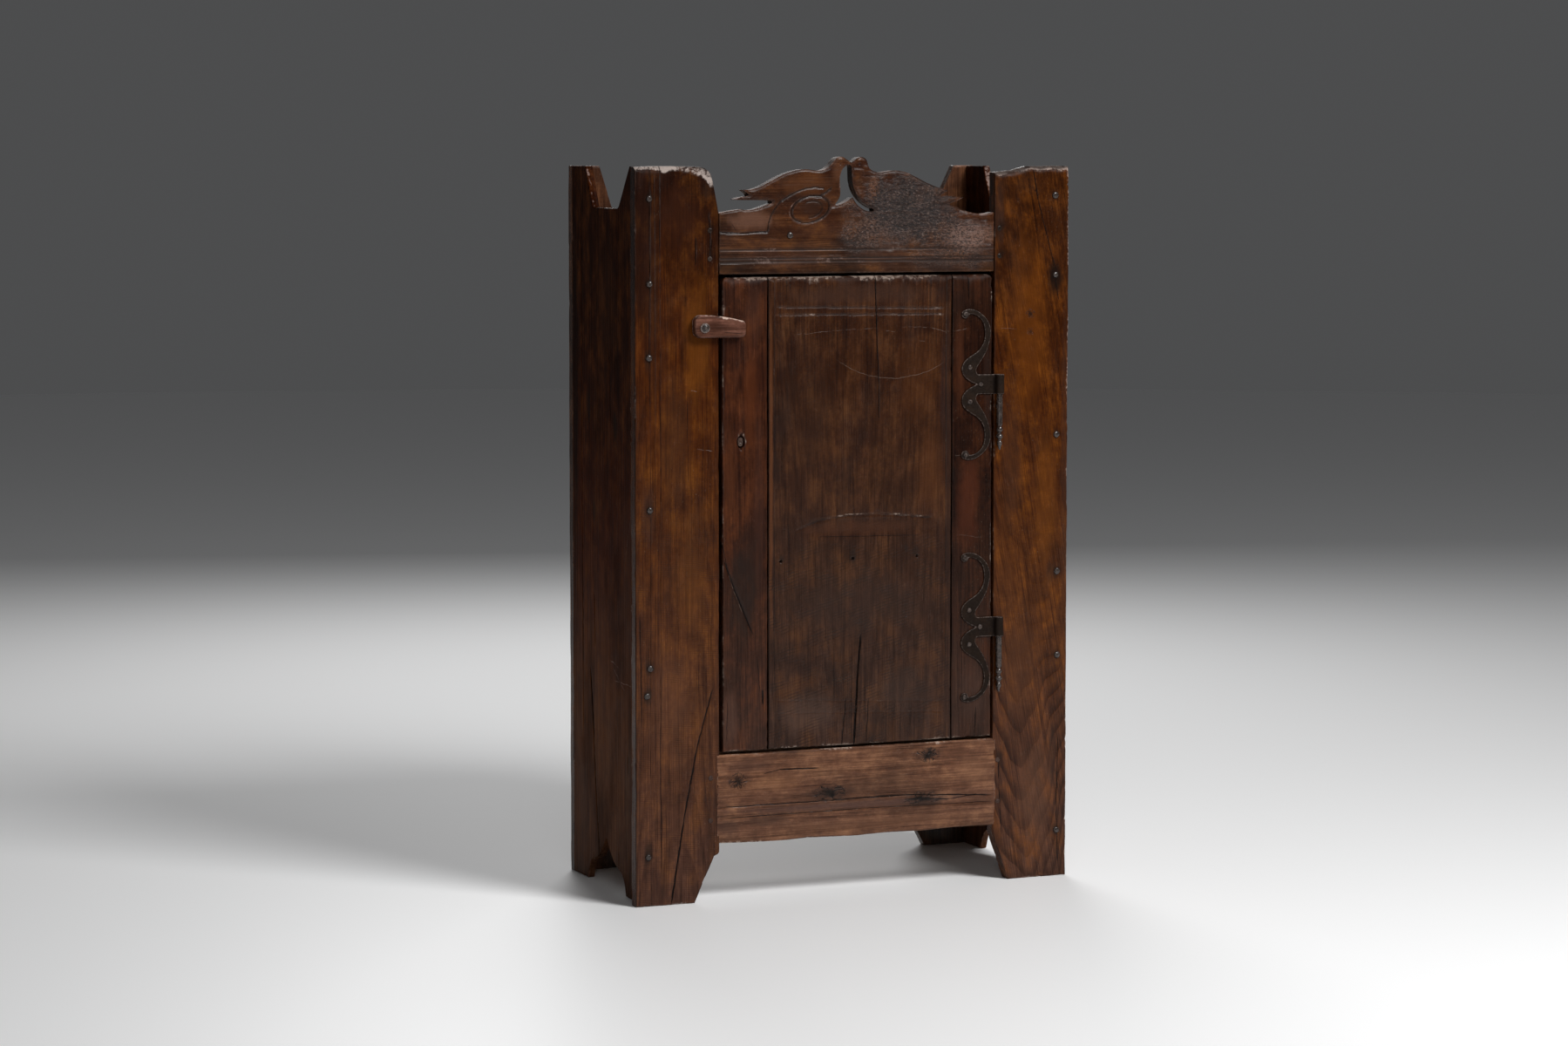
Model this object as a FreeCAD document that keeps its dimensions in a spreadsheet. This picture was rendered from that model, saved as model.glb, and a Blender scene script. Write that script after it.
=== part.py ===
import FreeCAD, Part
import math
import os

import Sketcher
from FreeCAD import Placement, Rotation, Vector

# Wooden cupboard of hewn boards: two thick front stiles with horn tops and splayed feet, a crest rail
# carved as two kissing doves, a bottom rail, side boards set in from the stiles, a boarded back, a door
# of three boards on two iron hinges, and a wooden turn button.
# Millimetres. +X to the right, +Y to the back, +Z up. The origin is on the floor, in the middle.

document = FreeCAD.newDocument("wooden_cabinet")

# Driving dimensions, each with the words that say what it measures
DRIVING = [
    ("carcass_width", 775.5, "outer edge to outer edge of the front stiles"),
    ("carcass_depth", 366, "front of the stiles to the back of the back stiles"),
    ("horn_height", 1200, "floor to the tops of the stiles"),
    ("front_stile_thick", 23, "front stiles and the rails between them"),
    ("left_stile_width", 146, "front left stile"),
    ("right_stile_width", 138, "front right stile"),
    ("foot_height", 79, "height of the cut that splays each foot"),
    ("foot_cut", 43, "how far the foot narrows at the floor, left stile"),
    ("right_foot_cut", 29, "the same on the right stile"),
    ("foot_step", 9, "small step where the foot's cut begins"),
    ("foot_step_drop", 4, "height of that step"),
    ("horn_lean", 10.5, "how far the inner edge leans in at the shoulder"),
    ("horn_drop", 22, "how far the left shoulder is below the top"),
    ("horn_shoulder", 24, "width of the left stile's rounded shoulder"),
    ("horn_round", 27, "radius of that shoulder"),
    ("right_horn_drop", 11, "how far the right stile's top falls inwards"),
    ("right_horn_flat", 76, "level part of the right stile's top"),
    ("right_horn_round", 10, "radius of its outer corner"),
    ("side_inset", 15.5, "side boards in from the stiles' outer edges"),
    ("side_thick", 13, "side boards"),
    ("side_horn_front", 43, "front horn of a side board, at its top"),
    ("side_horn_rear", 68, "rear horn of a side board, at its top"),
    ("side_notch_slope_front", 55, "front slope of the notch between the horns"),
    ("side_notch_slope_rear", 36, "rear slope of the notch"),
    ("side_notch_deep", 69, "depth of the notch"),
    ("arch_middle", 186, "front of the stiles to the middle of the foot arch"),
    ("arch_half", 94, "half of the foot arch at the floor"),
    ("arch_shoulder", 62, "middle of the arch to its shoulder"),
    ("arch_shoulder_height", 37, "floor to the shoulder"),
    ("arch_round", 36, "radius of the arch below the shoulder"),
    ("arch_height", 82, "floor to the point of the arch"),
    ("arch_sweep", 62, "radius of the arch above the shoulder"),
    ("back_stile_width", 132, "back stiles"),
    ("back_stile_thick", 19, "back stiles"),
    ("back_foot_cut", 42, "how far the back foot narrows at the floor"),
    ("left_back_horn", 50, "top width of the back left horn"),
    ("right_back_horn", 37, "top width of the back right horn"),
    ("back_horn_waist", 72, "width of a back horn where its cut turns"),
    ("back_horn_waist_drop", 70, "how far that turn is below the top"),
    ("back_horn_round", 60, "radius of the hollow below the turn"),
    ("back_board_thick", 15, "boards between the back stiles"),
    ("board_gap", 0.4, "between boards laid edge to edge"),
    ("crest_drop", 76, "crest rail's plain part below the tops of the stiles"),
    ("crest_tall", 100, "crest rail's plain part"),
    ("dove_rise", 91, "head of a dove above the plain part"),
    ("left_tail_gap", 24.2, "left tail to the left stile"),
    ("right_tail_gap", 54.7, "right tail to the right stile"),
    ("beak_offset", -14, "where the beaks meet, from the middle of the door opening"),
    ("bottom_rail_bottom", 92, "floor to the bottom rail's lower edge"),
    ("bottom_rail_top", 241, "floor to the bottom rail's upper edge"),
    ("tenon_long", 34, "tenons of both rails"),
    ("tenon_thick", 8, "tenons of both rails"),
    ("tenon_shoulder", 11, "rail's edge to the tenon's edge"),
    ("tenon_ease", 0.2, "mortise wider and deeper than the tenon"),
    ("peg_radius", 4, "wooden pegs through the tenons"),
    ("peg_proud", 0.8, "pegs proud of the stile"),
    ("left_peg_inset", 16, "pegs from the left stile's inner edge"),
    ("right_peg_inset", 9.5, "pegs from the right stile's inner edge"),
    ("crest_peg_low", 26, "lower pegs above the crest rail's edge"),
    ("crest_peg_high", 72, "upper pegs above the crest rail's edge"),
    ("bottom_peg_low", 42, "lower pegs above the bottom rail's edge"),
    ("bottom_peg_high", 112, "upper pegs above the bottom rail's edge"),
    ("top_board_thick", 20, "top board"),
    ("top_board_drop", 103, "top board's face below the tops of the stiles"),
    ("bottom_board_thick", 18, "bottom board"),
    ("door_stop", 8, "bottom board's upper face above the bottom rail"),
    ("housing_deep", 5, "grooves that hold the top and bottom boards"),
    ("shelf_thick", 18, "two shelves"),
    ("lower_shelf_rise", 254, "bottom board to the lower shelf's underside"),
    ("upper_shelf_drop", 305, "top board's underside to the upper shelf's"),
    ("shelf_setback", 26, "shelves behind the stiles' back faces"),
    ("cleat_thick", 18, "cleats under the shelves"),
    ("cleat_tall", 24, "cleats under the shelves"),
    ("cleat_margin", 20, "cleat's ends from the shelf's edges"),
    ("door_thick", 22, "door boards"),
    ("door_proud", 0.5, "door's face in front of the stiles' faces"),
    ("door_gap_lock", 5.2, "gap at the door's free edge"),
    ("door_gap_hinge", 3.4, "gap at the door's hinged edge"),
    ("door_gap_top", 4, "gap above the door"),
    ("door_gap_bottom", 4, "gap below the door"),
    ("door_corner", 8, "radius of the door's upper corners"),
    ("lock_board_width", 79.5, "board at the door's free edge"),
    ("hinge_board_width", 73.5, "board at the door's hinged edge"),
    ("pull_hole_inset", 32.5, "oval hole from the door's free edge"),
    ("pull_hole_drop", 268, "oval hole below the door's top"),
    ("pull_hole_wide", 12.5, "oval hole"),
    ("pull_hole_tall", 19, "oval hole"),
    ("pull_hole_deep", 12, "oval hole"),
    ("stub_ease", 2, "oval hole's edge to the broken peg in it"),
    ("stub_sunk", 3, "broken peg below the door's face"),
    ("old_nail_radius", 2, "three old nail holes in the centre board"),
    ("old_nail_height", 309, "old nail holes above the door's lower edge"),
    ("old_nail_deep", 12, "old nail holes"),
    ("batten_thick", 18, "battens across the door's back"),
    ("batten_tall", 60, "battens"),
    ("batten_inset", 15, "battens' ends from the door's edges"),
    ("scratch_wide", 1.8, "scratched lines"),
    ("scratch_deep", 1.2, "scratched lines"),
    ("scratch_inset", 10.5, "scratched lines from the centre board's edges"),
    ("scratch_from_top", 50, "upper pair of scratched lines below the door's top"),
    ("scratch_from_bottom", 60, "lower pair above the door's lower edge"),
    ("scratch_pair", 12, "between the lines of a pair"),
    ("stile_scratch", 36, "scratched line from the left stile's outer edge"),
    ("crest_scratch_low", 20, "lowest scratched line above the crest rail's edge"),
    ("crest_scratch_mid", 25, "middle one"),
    ("crest_scratch_high", 40, "highest one"),
    ("hinge_in_stile", 7, "hinge pin from the right stile's inner edge"),
    ("upper_hinge_drop", 183.3, "door's top to the middle of the upper hinge"),
    ("lower_hinge_rise", 185.5, "door's lower edge to the middle of the lower hinge"),
    ("strap_thick", 3, "hinge straps"),
    ("strap_rise", 125.5, "half of the strap's whole height"),
    ("strap_reach", 67, "hinge pin to the strap's far edge"),
    ("strap_tab_tall", 33, "tab between the two arms, and the knuckle"),
    ("eye_radius", 7, "round ends of the arms"),
    ("knuckle_radius", 7.5, "outside of the knuckle"),
    ("pin_radius", 4.7, "hinge pin"),
    ("pin_ease", 0.06, "knuckle's bore round the pin"),
    ("pin_step", 0.5, "knuckle above the shoulder it turns on"),
    ("barrel_radius", 5.2, "rod below the pin"),
    ("barrel_long", 51, "rod below the pin"),
    ("finial_neck", 3.2, "radius of the necks between the turned rings"),
    ("finial_ball_tall", 9.5, "upper ring"),
    ("finial_ball_round", 6.4, "radius of its profile"),
    ("finial_ring_tall", 8.8, "middle ring"),
    ("finial_ring_round", 4.95, "radius of its profile"),
    ("finial_bead_tall", 9, "lower ring"),
    ("finial_bead_round", 6.8, "radius of its profile"),
    ("finial_gap", 2.6, "necks between the rings"),
    ("finial_tip", 6.5, "tip"),
    ("spike_wide", 7, "spike that holds the pin in the stile"),
    ("spike_deep", 19, "spike in the stile"),
    ("spike_drop", 20, "top of the rod to the middle of the spike"),
    ("spike_ease", 0.2, "hole in the stile round the spike"),
    ("button_from_edge", 31, "turn button's nail from the left stile's inner edge"),
    ("button_drop", 85, "turn button's nail below the crest rail"),
    ("button_thick", 15, "turn button"),
    ("button_clear", 0.5, "turn button in front of the door"),
    ("button_tail", 17, "nail to the button's broad end"),
    ("button_reach", 72, "nail to the button's far end"),
    ("button_half_up", 21, "nail to the button's upper edge at its broad end"),
    ("button_half_down", 16.5, "nail to the button's lower edge"),
    ("button_tip_up", 11.5, "nail to the upper edge at the button's far end"),
    ("button_corner", 6.5, "radius of its broad end's corners"),
    ("button_tip_round", 8, "radius of its far end's corners"),
    ("button_crown", 270, "radius of its upper edge"),
    ("button_edge", 3, "radius of its front edges"),
    ("button_nail_radius", 2.5, "nail that the button turns on"),
    ("button_nail_ease", 0.08, "bore of the button round that nail"),
    ("button_nail_deep", 18, "that nail in the stile"),
    ("button_head_radius", 8.2, "its head"),
    ("button_head_rise", 4, "its head"),
    ("head_gap", 0.3, "head in front of the button"),
    ("nail_ease", 0.05, "hole round a nail or a peg"),
    ("stile_nail_radius", 1.9, "nails of the stiles and the crest rail"),
    ("stile_nail_long", 57, "the same nails"),
    ("stile_head_radius", 6, "the same nails"),
    ("stile_head_rise", 3, "the same nails"),
    ("back_nail_radius", 1.8, "nails of the back"),
    ("back_nail_long", 44, "the same nails"),
    ("back_head_radius", 5, "the same nails"),
    ("back_head_rise", 2.2, "the same nails"),
    ("strap_nail_radius", 1.6, "nails of the hinge straps"),
    ("strap_nail_long", 22, "the same nails"),
    ("strap_head_radius", 4.6, "the same nails"),
    ("strap_head_rise", 2.2, "the same nails"),
    ("batten_nail_radius", 1.5, "nails of the battens and cleats"),
    ("batten_nail_long", 28, "the same nails"),
    ("batten_head_radius", 3.6, "the same nails"),
    ("batten_head_rise", 1.2, "the same nails"),
    ("crest_nail_offset", -122, "crest rail's nail from the middle of the door opening"),
]


class Size:
    """A length: the words that work it out on the sheet, and its number now."""

    def __init__(self, words, number):
        self.words = words
        self.number = number

    def __add__(self, other):
        return join(self, "+", other, lambda a, b: a + b)

    def __radd__(self, other):
        return join(other, "+", self, lambda a, b: a + b)

    def __sub__(self, other):
        return join(self, "-", other, lambda a, b: a - b)

    def __rsub__(self, other):
        return join(other, "-", self, lambda a, b: a - b)

    def __mul__(self, other):
        return join(self, "*", other, lambda a, b: a * b)

    def __rmul__(self, other):
        return join(other, "*", self, lambda a, b: a * b)

    def __truediv__(self, other):
        return join(self, "/", other, lambda a, b: a / b)

    def __neg__(self):
        return Size(f"(0 - {self.words})", -self.number)


def as_size(value):
    return value if isinstance(value, Size) else Size(repr(float(value)), float(value))


def join(first, sign, second, work_out):
    first = as_size(first)
    second = as_size(second)
    words = f"({first.words} {sign} {second.words})"
    return Size(words, work_out(first.number, second.number))


class Sheet:
    """The driving dimensions by name, as lengths."""


def fill_sheet(rows):
    sheet = document.addObject("Spreadsheet::Sheet", "Sizes")
    lengths = Sheet()
    for line, (alias, number, meaning) in enumerate(rows, start=1):
        sheet.set(f"A{line}", alias)
        sheet.set(f"B{line}", str(number))
        sheet.setAlias(f"B{line}", alias)
        sheet.set(f"C{line}", meaning)
        setattr(lengths, alias, Size(f"Sizes.{alias}", float(number)))
    return lengths


s = fill_sheet(DRIVING)
document.recompute()

# Planes and edges that several pieces share
button_gap = s.door_proud + s.button_clear
front_proud = button_gap + s.button_thick + s.head_gap + s.button_head_rise
front = (front_proud - s.carcass_depth - s.back_head_rise) / 2
left = -s.carcass_width / 2
right = s.carcass_width / 2
stile_back = front + s.front_stile_thick
side_rear = front + s.carcass_depth - s.back_stile_thick
side_left_inner = left + s.side_inset + s.side_thick
side_right_inner = right - s.side_inset - s.side_thick
opening_left = left + s.left_stile_width
opening_right = right - s.right_stile_width
opening_middle = (opening_left + opening_right) / 2
opening_width = s.carcass_width - s.left_stile_width - s.right_stile_width
crest_top = s.horn_height - s.crest_drop
crest_bottom = crest_top - s.crest_tall
top_board_top = s.horn_height - s.top_board_drop
top_board_under = top_board_top - s.top_board_thick
bottom_board_top = s.bottom_rail_top + s.door_stop
bottom_board_under = bottom_board_top - s.bottom_board_thick
lower_shelf_under = bottom_board_top + s.lower_shelf_rise
upper_shelf_under = top_board_under - s.upper_shelf_drop
shelf_front = stile_back + s.shelf_setback
door_left = opening_left + s.door_gap_lock
door_right = opening_right - s.door_gap_hinge
door_bottom = s.bottom_rail_top + s.door_gap_bottom
door_top = crest_bottom - s.door_gap_top
door_tall = door_top - door_bottom
upper_hinge = door_top - s.upper_hinge_drop
lower_hinge = door_bottom + s.lower_hinge_rise
door_front = front - s.door_proud
door_back = door_front + s.door_thick
hinge_x = opening_right + s.hinge_in_stile
hinge_y = door_front - s.knuckle_radius
button_x = opening_left - s.button_from_edge
button_z = crest_bottom - s.button_drop

pockets = []
subparts = []


def bind(thing, field, length):
    """Tie a field of an object to the sheet."""
    thing.setExpression(field, as_size(length).words)


def place(thing, x, y, z, turn=0):
    """Put an object at a place worked out from the sheet, turned about the vertical."""
    x, y, z = as_size(x), as_size(y), as_size(z)
    thing.Placement = Placement(Vector(x.number, y.number, z.number), Rotation(Vector(0, 0, 1), turn))
    bind(thing, "Placement.Base.x", x)
    bind(thing, "Placement.Base.y", y)
    bind(thing, "Placement.Base.z", z)


def new_body(name, x, y, z):
    body = document.addObject("PartDesign::Body", name)
    body.Label = name
    place(body, x, y, z)
    subparts.append(body)
    return body


def new_sketch(body, plane, start=0):
    """Sketch on one of the body's own planes, moved along the axis square to it."""
    sketch = body.newObject("Sketcher::SketchObject", f"{body.Name}_sketch")
    origin_plane = [item for item in body.Origin.OriginFeatures if item.Role == f"{plane}_Plane"][0]
    sketch.AttachmentSupport = [(origin_plane, "")]
    sketch.MapMode = "FlatFace"
    start = as_size(start)
    bind(sketch, "AttachmentOffset.Base.z", -start if plane == "XZ" else start)
    return sketch


def outline(sketch, corners):
    """Closed outline through corners (across, up) or (across, up, radius). A radius bends the edge that
    leaves its corner, to the left of its way, or to the right if it is negative."""
    first = sketch.GeometryCount
    count = len(corners)
    points = [(as_size(corner[0]), as_size(corner[1])) for corner in corners]
    ends = []
    for index, corner in enumerate(corners):
        begin = Vector(points[index][0].number, points[index][1].number, 0)
        target = points[(index + 1) % count]
        finish = Vector(target[0].number, target[1].number, 0)
        if len(corner) == 2:
            sketch.addGeometry(Part.LineSegment(begin, finish), False)
            ends.append((1, 2))
            continue
        radius = as_size(corner[2]).number
        chord = finish - begin
        side = Vector(chord.y, -chord.x, 0).normalize() * math.copysign(1, radius)
        centre = (begin + finish) / 2 + side * math.sqrt(max(radius * radius - chord.Length ** 2 / 4, 0))
        start_point, end_point = (finish, begin) if radius > 0 else (begin, finish)
        circle = Part.Circle(centre, Vector(0, 0, 1), abs(radius))
        angles = [math.atan2(point.y - centre.y, point.x - centre.x) for point in (start_point, end_point)]
        sketch.addGeometry(Part.ArcOfCircle(circle, angles[0], angles[1]), False)
        ends.append((2, 1) if radius > 0 else (1, 2))
    rules = []
    bound = []
    for index in range(count):
        before = (index - 1) % count
        rules.append(Sketcher.Constraint("Coincident", first + before, ends[before][1],
                                         first + index, ends[index][0]))
        bound.append(None)
        for kind, length in zip(("DistanceX", "DistanceY"), points[index]):
            rules.append(Sketcher.Constraint(kind, first + index, ends[index][0], length.number))
            bound.append(length)
        if len(corners[index]) == 3:
            radius = as_size(corners[index][2])
            rules.append(Sketcher.Constraint("Radius", first + index, abs(radius.number)))
            bound.append(radius if radius.number > 0 else -radius)
    start_rule = sketch.ConstraintCount
    sketch.addConstraint(rules)
    for index, length in enumerate(bound):
        if length is not None and "Sizes" in length.words:
            bind(sketch, f"Constraints[{start_rule + index}]", length)
    return sketch


def rectangle(sketch, low_across, low_up, high_across, high_up):
    return outline(sketch, [(low_across, low_up), (high_across, low_up),
                            (high_across, high_up), (low_across, high_up)])


def circles(sketch, centres, radius):
    for across, up in centres:
        across, up = as_size(across), as_size(up)
        circle = Part.Circle(Vector(across.number, up.number, 0), Vector(0, 0, 1), radius.number)
        item = sketch.addGeometry(circle, False)
        for rule, length in ((Sketcher.Constraint("DistanceX", item, 3, across.number), across),
                             (Sketcher.Constraint("DistanceY", item, 3, up.number), up),
                             (Sketcher.Constraint("Radius", item, radius.number), radius)):
            index = sketch.addConstraint(rule)
            if "Sizes" in length.words:
                bind(sketch, f"Constraints[{index}]", length)
    return sketch


def freeform(sketch, stretches):
    """Closed outline of smooth curves and straight lines that follow one another. A stretch of two
    points is straight, and a longer one is a curve through its points."""
    for index, stretch in enumerate(stretches):
        points = [Vector(across, up, 0) for across, up in stretch]
        points.append(Vector(*stretches[(index + 1) % len(stretches)][0], 0))
        if len(points) == 2:
            item = sketch.addGeometry(Part.LineSegment(points[0], points[1]), False)
        else:
            curve = Part.BSplineCurve()
            curve.interpolate(points)
            item = sketch.addGeometry(curve, False)
        sketch.addConstraint(Sketcher.Constraint("Block", item))
    return sketch


def pad(body, sketch, plane, length):
    """Make the sketch solid, along the axis square to its plane."""
    feature = body.newObject("PartDesign::Pad", f"{body.Name}_pad")
    feature.Profile = (sketch, [""])
    bind(feature, "Length", length)
    feature.Reversed = plane == "XZ"
    return feature


def cut(body, sketch, plane, length):
    """Cut the sketch out of the body, along the axis square to its plane."""
    feature = body.newObject("PartDesign::Pocket", f"{body.Name}_cut")
    feature.Profile = (sketch, [""])
    bind(feature, "Length", length)
    feature.Reversed = plane != "XZ"
    pockets.append(feature)
    return feature


def round_edges(body, base, radius, wanted):
    """Round the edges whose ends all pass the test."""
    document.recompute()
    names = [f"Edge{number}" for number, edge in enumerate(base.Shape.Edges, start=1)
             if all(wanted(vertex.Point) for vertex in edge.Vertexes)]
    feature = body.newObject("PartDesign::Fillet", f"{body.Name}_round")
    feature.Base = (base, names)
    bind(feature, "Radius", radius)
    return feature


def board(name, x, y, z, wide, deep, tall):
    """Plain sawn board between two corners."""
    body = new_body(name, x, y, z)
    pad(body, rectangle(new_sketch(body, "XY"), 0, 0, wide, deep), "XY", tall)
    return body


def holes(body, plane, start, centres, radius, length):
    """Round holes for nails or pegs, all of one size, in one cut."""
    cut(body, circles(new_sketch(body, plane, start), centres, radius + s.nail_ease), plane, length)


# Nails and pegs: one pattern of each, with its head's underside at the origin and its shank along +Y
def nail_pattern(name, shank_radius, length, head_radius, head_rise):
    body = document.addObject("PartDesign::Body", name)
    body.Label = name
    point = shank_radius * 0.3
    edge = head_rise * 0.3
    crown = head_radius * 0.35
    sketch = outline(new_sketch(body, "XY"), [
        (0, -head_rise), (crown, -head_rise), (head_radius, -edge), (head_radius, 0),
        (shank_radius, 0), (shank_radius, length * 0.6), (point, length), (0, length)])
    feature = body.newObject("PartDesign::Revolution", f"{name}_turned")
    feature.Profile = (sketch, [""])
    feature.ReferenceAxis = (sketch, ["V_Axis"])
    return body


stile_nail = nail_pattern("stile_nail_pattern", s.stile_nail_radius, s.stile_nail_long,
                          s.stile_head_radius, s.stile_head_rise)
back_nail = nail_pattern("back_nail_pattern", s.back_nail_radius, s.back_nail_long,
                         s.back_head_radius, s.back_head_rise)
strap_nail = nail_pattern("strap_nail_pattern", s.strap_nail_radius, s.strap_nail_long,
                          s.strap_head_radius, s.strap_head_rise)
batten_nail = nail_pattern("batten_nail_pattern", s.batten_nail_radius, s.batten_nail_long,
                           s.batten_head_radius, s.batten_head_rise)

peg_pattern = document.addObject("PartDesign::Body", "peg_pattern")
peg_long = s.front_stile_thick + s.peg_proud
pad(peg_pattern, circles(new_sketch(peg_pattern, "XZ", -s.peg_proud), [(0, 0)], s.peg_radius),
    "XZ", peg_long)


def group(name, pattern, places, turn=0):
    """One node of separate like pieces."""
    copies = []
    for x, y, z in places:
        copy = document.addObject("App::Link", f"{name}_piece")
        copy.LinkedObject = pattern
        copy.LinkTransform = False
        place(copy, x, y, z, turn)
        copies.append(copy)
    node = document.addObject("Part::Compound", name)
    node.Label = name
    node.Links = copies
    subparts.append(node)
    return node


# Front stiles. Each is drawn from its outer edge at the floor. Mortises, peg holes and nail holes take
# their places from the rails and the side boards. Each nail has its distance from the stile's outer
# edge, and its height from the floor, or down from the top where the value is negative.
LEFT_NAILS = [(21.7, 81), (20, 344), (25.5, 389), (25.5, -554.5), (24.6, -308.5), (25.5, -189.5), (25.5, -52.5)]
RIGHT_NAILS = [(18.5, 78), (18.5, 376.5), (19.3, 518.5), (21.4, -450.5), (24.5, -182.5), (25.5, -49.5)]


def from_floor_or_top(nails):
    return [(as_size(inset), as_size(height) if height > 0 else s.horn_height + height)
            for inset, height in nails]


left_nails = from_floor_or_top(LEFT_NAILS)
right_nails = from_floor_or_top(RIGHT_NAILS)
crest_pegs = [crest_bottom + s.crest_peg_low, crest_bottom + s.crest_peg_high]
bottom_pegs = [s.bottom_rail_bottom + s.bottom_peg_low, s.bottom_rail_bottom + s.bottom_peg_high]
tenons = [(crest_bottom + s.tenon_shoulder, crest_top - s.tenon_shoulder),
          (s.bottom_rail_bottom + s.tenon_shoulder, s.bottom_rail_top - s.tenon_shoulder)]
tenon_front = (s.front_stile_thick - s.tenon_thick) / 2


def finish_stile(body, way, width, peg_inset, nails):
    """Mortises, peg holes and nail holes. way is 1 where the stile runs right from its outer edge."""
    for low, high in tenons:
        mortise = rectangle(new_sketch(body, "XZ", tenon_front - s.tenon_ease),
                            way * (width - s.tenon_long - s.tenon_ease), low - s.tenon_ease,
                            way * (width + s.tenon_ease), high + s.tenon_ease)
        cut(body, mortise, "XZ", s.tenon_thick + 2 * s.tenon_ease)
    holes(body, "XZ", 0, [(way * (width - peg_inset), height) for height in crest_pegs + bottom_pegs],
          s.peg_radius, s.front_stile_thick)
    holes(body, "XZ", 0, [(way * inset, height) for inset, height in nails],
          s.stile_nail_radius, s.front_stile_thick)


left_stile = new_body("front_left_stile", left, front, 0)
left_outline = outline(new_sketch(left_stile, "XZ"), [
    (0, 0),
    (s.left_stile_width - s.foot_cut, 0),
    (s.left_stile_width - s.foot_step, s.foot_height - s.foot_step_drop),
    (s.left_stile_width, s.foot_height),
    (s.left_stile_width, crest_top),
    (s.left_stile_width - s.horn_lean, s.horn_height - s.horn_drop, -s.horn_round),
    (s.left_stile_width - s.horn_lean - s.horn_shoulder, s.horn_height),
    (0, s.horn_height)])
pad(left_stile, left_outline, "XZ", s.front_stile_thick)
finish_stile(left_stile, 1, s.left_stile_width, s.left_peg_inset, left_nails)
holes(left_stile, "XZ", 0, [(s.left_stile_width - s.button_from_edge, button_z)],
      s.button_nail_radius, s.front_stile_thick)
stile_line = rectangle(new_sketch(left_stile, "XZ"),
                       s.stile_scratch - s.scratch_wide / 2, 0,
                       s.stile_scratch + s.scratch_wide / 2, s.horn_height)
cut(left_stile, stile_line, "XZ", s.scratch_deep)

right_stile = new_body("front_right_stile", right, front, 0)
right_outline = outline(new_sketch(right_stile, "XZ"), [
    (0, 0),
    (0, s.horn_height - s.right_horn_round, -s.right_horn_round),
    (-s.right_horn_round, s.horn_height),
    (-s.right_horn_flat, s.horn_height),
    (-s.right_stile_width, s.horn_height - s.right_horn_drop),
    (-s.right_stile_width, s.foot_height),
    (s.right_foot_cut - s.right_stile_width, 0)])
pad(right_stile, right_outline, "XZ", s.front_stile_thick)
finish_stile(right_stile, -1, s.right_stile_width, s.right_peg_inset, right_nails)
spike_low = s.pin_step + s.spike_drop + s.spike_wide / 2 + s.spike_ease
spike_high = s.pin_step + s.spike_drop - s.spike_wide / 2 - s.spike_ease
for height in (upper_hinge, lower_hinge):
    knuckle_low = height - s.strap_tab_tall / 2
    spike_across = s.hinge_in_stile - s.right_stile_width
    spike_hole = rectangle(new_sketch(right_stile, "XZ"),
                           spike_across - s.spike_wide / 2 - s.spike_ease, knuckle_low - spike_low,
                           spike_across + s.spike_wide / 2 + s.spike_ease, knuckle_low - spike_high)
    cut(right_stile, spike_hole, "XZ", s.spike_deep + s.spike_ease)

# Rails between the stiles, tenoned and pegged. Each is drawn from the middle of the door opening.
left_peg = s.left_peg_inset + opening_width / 2
right_peg = s.right_peg_inset + opening_width / 2


def finish_rail(body, low, high, pegs):
    """Tenons at both ends of a rail, and the holes of their pegs, from the rail's own lower edge."""
    for start in (-(opening_width / 2) - s.tenon_long, opening_width / 2):
        tongue = rectangle(new_sketch(body, "XZ", tenon_front), start, low, start + s.tenon_long, high)
        pad(body, tongue, "XZ", s.tenon_thick)
    places = [(across, height) for across in (-left_peg, right_peg) for height in pegs]
    holes(body, "XZ", 0, places, s.peg_radius, s.front_stile_thick)


bottom_rail = new_body("bottom_rail", opening_middle, front, s.bottom_rail_bottom)
bottom_rail_tall = s.bottom_rail_top - s.bottom_rail_bottom
pad(bottom_rail, rectangle(new_sketch(bottom_rail, "XZ"), -(opening_width / 2), 0,
                           opening_width / 2, bottom_rail_tall), "XZ", s.front_stile_thick)
finish_rail(bottom_rail, s.tenon_shoulder, bottom_rail_tall - s.tenon_shoulder,
            [s.bottom_peg_low, s.bottom_peg_high])

# Crest rail. The doves are drawn as they are carved, across from where their beaks meet and up from the
# plain part's upper edge, then stretched to the room between the stiles. Each list is one stretch
# between two sharp corners.
LEFT_SHOULDER = [[(-194, 6), (-171, 5.4), (-150, 12), (-137, 17)]]
LEFT_TAIL = [[(-146, 19.5), (-175, 20)], [(-208, 20.6), (-193, 25.5)], [(-177, 27)]]
LEFT_BACK = [[(-192, 38.3), (-165, 40), (-134, 55), (-100, 67.8), (-76, 70.3), (-52, 68.5), (-38, 74.7),
              (-27, 87), (-16.3, 91), (-7, 86.5)]]
RIGHT_BACK = [[(2, 80.5), (10, 87), (20, 90.5), (28, 86), (33, 73), (42, 66.8), (76, 68), (98, 65.5),
               (124, 54), (147.8, 43.5)]]
RIGHT_TAIL = [[(176.5, 35.3)], [(158, 25), (180, 25.5)], [(204.8, 23.4), (190, 17)]]
RIGHT_SHOULDER = [[(168, 11.4), (192.5, 6.8), (212, 0), (229, -3.5)]]
BREAST_GAP = [[(1.5, 76.5), (-10, 74), (-17.5, 63), (-18.6, 45), (-18.6, 27.2), (-24, 17)],
              [(-34, 9.5), (-18, 12.8)], [(4, 25), (13.5, 11), (28, 2.5)],
              [(46.5, 2.5), (24.5, 14), (12, 27), (5, 41), (2.2, 58)]]

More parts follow.
